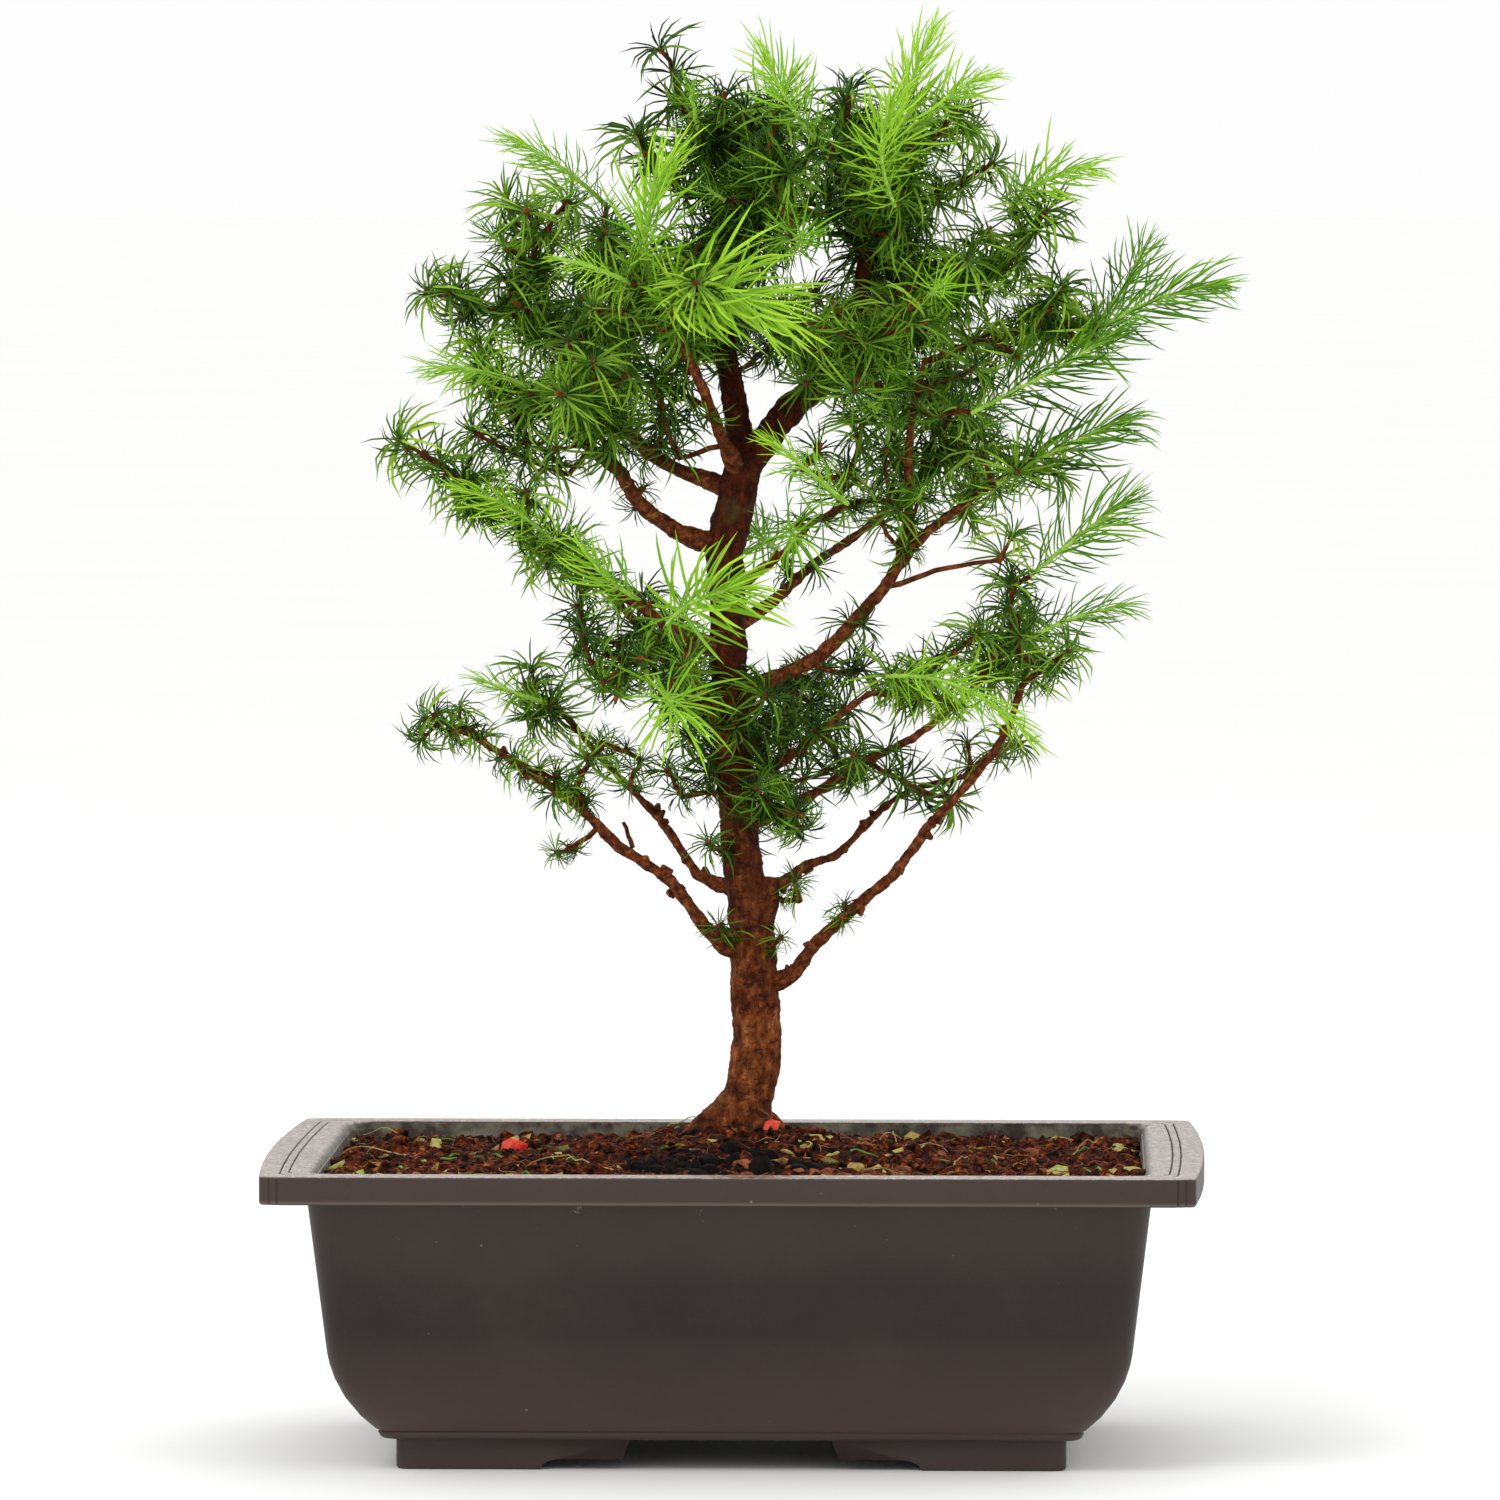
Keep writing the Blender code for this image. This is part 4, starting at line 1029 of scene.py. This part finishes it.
stem_finish, tree, shader = finish_of("green_stem", 0.5, 0.3)
greens = [(0.35, (136, 186, 58)), (0.6, (172, 212, 84)), (0.8, (192, 222, 116))]
feed(tree, shader.inputs["Base Color"], shades(tree, grain(tree, own_place(tree), 260, 4), greens))
mesh = grown_mesh("green_stems", lines_mesh("shoot_lines", shoots), stems("green stems", stem_finish))
piece_of("green_stems", bare(mesh), smooth=60)


def aimed_points(name, entries):
    """Points that carry an aim, a size and a shade, for a tree to put something on."""
    made = bpy.data.meshes.new(name)
    made.from_pydata([tuple(entry[0]) for entry in entries], [], [])
    for key, column in (("aim", 1), ("bend", 4)):
        if len(entries[0]) > column:
            values = np.array([tuple(entry[column]) for entry in entries], np.float32)
            made.attributes.new(key, "FLOAT_VECTOR", "POINT").data.foreach_set("vector", values.ravel())
    for key, column in (("size", 2), ("shade", 3)):
        values = np.array([entry[column] for entry in entries], np.float32)
        made.attributes.new(key, "FLOAT", "POINT").data.foreach_set("value", values)
    return made


def knob_tree(name, material, length, foot_radius, top_radius, by_size):
    """A tree that stands a short blunt cone on each point, along its aim."""
    sizes = [("Length", "Float", length), ("Foot radius", "Float", foot_radius)]
    tree, given = geometry_tree(name, sizes + [("Top radius", "Float", top_radius)])
    aim = carried(tree, "aim", "FLOAT_VECTOR")
    turn = add(tree, "FunctionNodeAlignRotationToVector", {"Vector": aim}, axis="Z").outputs[0]
    feeds = {"Vertices": 6, "Side Segments": 2, "Depth": given["Length"]}
    feeds |= {"Radius Top": given["Top radius"], "Radius Bottom": given["Foot radius"]}
    knob = add(tree, "GeometryNodeMeshCone", feeds).outputs[0]
    scale = carried(tree, "size") if by_size else chance(tree, 0.7, 1.25, 5)
    finish_tree(tree, stood_on(tree, given["Geometry"], knob, turn, scale), material)
    return tree


bud_finish = speckled("buds", 600, [(0.4, (120, 56, 20)), (0.6, (178, 98, 44))], 0.6)
for name, entries, material, sizes, by_size in (
    ("spurs", rosettes, twig_finish, (0.0016, 0.0008, 0.0006), False),
    ("bare_spurs", knobs, twig_finish, (0.0019, 0.0014, 0.0005), True),
    ("buds", buds, bud_finish, (0.0030, 0.0009, 0.0003), True),
):
    tree = knob_tree(name, material, *sizes, by_size)
    piece_of(name, bare(grown_mesh(name, aimed_points(name, entries), tree)), smooth=50)


# ---- Needles
# Soft flat needles about a millimetre wide. On a spur they stand in a star and curl back; on a green
# stem they are longer, set singly round it, and lean towards its tip.


def needle_finish(name, tones, base, roughness):
    """Needle colour: across the tones from needle to needle, and paler at the foot of each."""
    made, tree, shader = finish_of(name, roughness, 0.12)
    across = add(tree, "ShaderNodeUVMap", uv_map="OFBake").outputs[0]
    colour = shades(tree, part_of(tree, across, "X"), tones)
    at_foot = shades(tree, part_of(tree, across, "Y"), [(0.0, WHITE), (0.3, BLACK)])
    feed(tree, shader.inputs["Base Color"], blended(tree, at_foot, colour, base))
    return made


OLD = [(0.0, (5, 19, 0)), (0.22, (28, 58, 2)), (0.45, (66, 107, 12)), (0.7, (113, 154, 36))]
OLD += [(1.0, (154, 191, 54))]
YOUNG = [(0.0, (34, 68, 4)), (0.3, (77, 129, 15)), (0.6, (118, 176, 28)), (1.0, (166, 210, 56))]
old_finish = needle_finish("old_needles", OLD, (72, 116, 46), 0.5)
young_finish = needle_finish("young_needles", YOUNG, (156, 200, 72), 0.45)


def needle_shape(tree, width, curl, joints):
    """One thin needle of unit length, bent along an arc by its curl, that carries how far along it is."""
    line = add(tree, "GeometryNodeCurvePrimitiveLine", {"Start": (0, 0, 0), "End": (0, 0, 1)}).outputs[0]
    line = add(tree, "GeometryNodeResampleCurve", {"Curve": line, "Count": joints}).outputs[0]
    along = add(tree, "GeometryNodeSplineParameter").outputs["Factor"]
    angle = maths(tree, "MULTIPLY", along, curl)
    up = maths(tree, "DIVIDE", maths(tree, "SINE", angle), curl)
    out = maths(tree, "DIVIDE", maths(tree, "SUBTRACT", 1.0, maths(tree, "COSINE", angle)), curl)
    arc = add(tree, "ShaderNodeCombineXYZ", {"X": out, "Z": up}).outputs[0]
    line = add(tree, "GeometryNodeSetPosition", {"Geometry": line, "Position": arc}).outputs[0]
    taper = add(tree, "ShaderNodeFloatCurve", {"Value": along})
    outline = taper.mapping.curves[0].points
    outline[0].location = (0.0, 0.6)
    outline.new(0.3, 1.0)
    outline.new(0.7, 0.85)
    outline[-1].location = (1.0, 0.0)
    radius = maths(tree, "MULTIPLY", taper.outputs[0], width)
    feeds = {"Geometry": line, "Name": "along", "Value": along}
    line = add(tree, "GeometryNodeStoreNamedAttribute", feeds, data_type="FLOAT").outputs[0]
    feeds = {"Geometry": skinned(tree, line, radius, 3), "Distance": 0.001}
    closed = add(tree, "GeometryNodeMergeByDistance", feeds).outputs[0]
    return add(tree, "GeometryNodeGeometryToInstance", {0: closed}).outputs[0]


def turned_by(tree, rotation, axis, angle):
    """A rotation turned further round one of its own axes."""
    angles = add(tree, "ShaderNodeCombineXYZ", {axis: angle}).outputs[0]
    further = add(tree, "FunctionNodeEulerToRotation", {0: angles}).outputs[0]
    feeds = {"Rotation": rotation, "Rotate By": further}
    return add(tree, "FunctionNodeRotateRotation", feeds, rotation_space="LOCAL").outputs[0]


def needle_tree(name, material, count, width, spread, curls, seed, tones, joints=4):
    """A tree that stands curved needles on each point: a star of them, or one."""
    sizes = [("Needles", "Int", count), ("Width", "Float", width), ("Narrowest tilt", "Float", spread[0])]
    sizes += [("Widest tilt", "Float", spread[1]), ("Seed", "Int", seed)]
    tree, given = geometry_tree(name, sizes)
    seed_of = given["Seed"]
    choices = add(tree, "GeometryNodeJoinGeometry")
    for curl in curls:
        tree.links.new(needle_shape(tree, given["Width"], curl, joints), choices.inputs[0])
    feeds = {"Geometry": given["Geometry"], "Amount": given["Needles"]}
    many = add(tree, "GeometryNodeDuplicateElements", feeds, domain="POINT")

    # Each needle turns a golden angle on from the last round the aim, then tilts away from it.
    step = maths(tree, "MULTIPLY", many.outputs["Duplicate Index"], 2.39996)
    spin = maths(tree, "ADD", step, chance(tree, -0.5, 0.5, seed_of))
    tilt = chance(tree, given["Narrowest tilt"], given["Widest tilt"], seed_of)
    aim = carried(tree, "aim", "FLOAT_VECTOR")
    turn = add(tree, "FunctionNodeAlignRotationToVector", {"Vector": aim}, axis="Z").outputs[0]
    feeds = {"Rotation": turn, "Vector": carried(tree, "bend", "FLOAT_VECTOR")}
    turn = add(tree, "FunctionNodeAlignRotationToVector", feeds, axis="X", pivot_axis="Z").outputs[0]
    turn = turned_by(tree, turned_by(tree, turn, "Z", spin), "Y", tilt)
    length = maths(tree, "MULTIPLY", carried(tree, "size"), chance(tree, 0.72, 1.15, seed_of))
    which = chance(tree, 0, len(curls) - 1, seed_of, "INT")
    tone = maths(tree, "ADD", chance(tree, 0.0, tones, seed_of), carried(tree, "shade"))
    feeds = {"Geometry": many.outputs[0], "Name": "tone", "Value": tone}
    toned = add(tree, "GeometryNodeStoreNamedAttribute", feeds, data_type="FLOAT").outputs[0]
    stood = stood_on(tree, toned, choices.outputs[0], turn, length, which)
    real = add(tree, "GeometryNodeRealizeInstances", {0: stood}).outputs[0]

    # The finish reads a needle's tone across its map, and how far along it is up the map.
    facing = part_of(tree, add(tree, "GeometryNodeInputNormal").outputs[0], "X")
    across = maths(tree, "ADD", carried(tree, "tone"), maths(tree, "MULTIPLY", facing, 0.012))
    across = add(tree, "ShaderNodeClamp", {"Value": across, "Min": 0.01, "Max": 0.99}).outputs[0]
    place = add(tree, "ShaderNodeCombineXYZ", {"X": across, "Y": carried(tree, "along")}).outputs[0]
    feeds = {"Geometry": real, "Name": "OFBake", "Value": place}
    mapped = add(tree, "GeometryNodeStoreNamedAttribute", feeds, data_type="FLOAT2", domain="CORNER")
    finish_tree(tree, mapped.outputs[0], material)
    return tree


# Stars nearer the trunk are painted darker, as shade inside the crown. They are split by height into pieces.
STAR = 20
STAR_TRIANGLES = STAR * 20
PIECE_TRIANGLES = 180000
for k, (spot, aim, size, shade) in enumerate(rosettes):
    inner = 1 - min(1.0, math.hypot(spot.x - POT_MIDDLE.x, spot.y) / 0.050)
    rosettes[k] = (spot + aim * 0.0008, aim, size, shade - 0.22 * inner)
rosettes.sort(key=lambda entry: entry[0].z)
star_tree = needle_tree("needle stars", old_finish, STAR, 0.0250, (0.3, 1.65), (0.8, 1.25, 1.75), 3, 0.65)
batches = math.ceil(len(rosettes) * STAR_TRIANGLES / PIECE_TRIANGLES)
for k in range(batches):
    part = rosettes[k * len(rosettes) // batches : (k + 1) * len(rosettes) // batches]
    mesh = grown_mesh(f"old_needles_{k}", aimed_points("stars", part), star_tree, Seed=3 + k)
    piece_of(f"old_needles_{k}", bare(mesh), smooth=80)

leaf_tree = needle_tree("single needles", young_finish, 1, 0.0190, (0.0, 0.12), (0.25, 0.55, 0.9), 8, 0.35, 6)
mesh = grown_mesh("young_needles", aimed_points("leaf_points", leaves), leaf_tree)
young_leaves = piece_of("young_needles", bare(mesh), smooth=80)
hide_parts(*[node for node in SPRAYS if slots[node] == "young_needles"])
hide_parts(*[node for node in SPRAYS if slots[node] == "old_needles"])
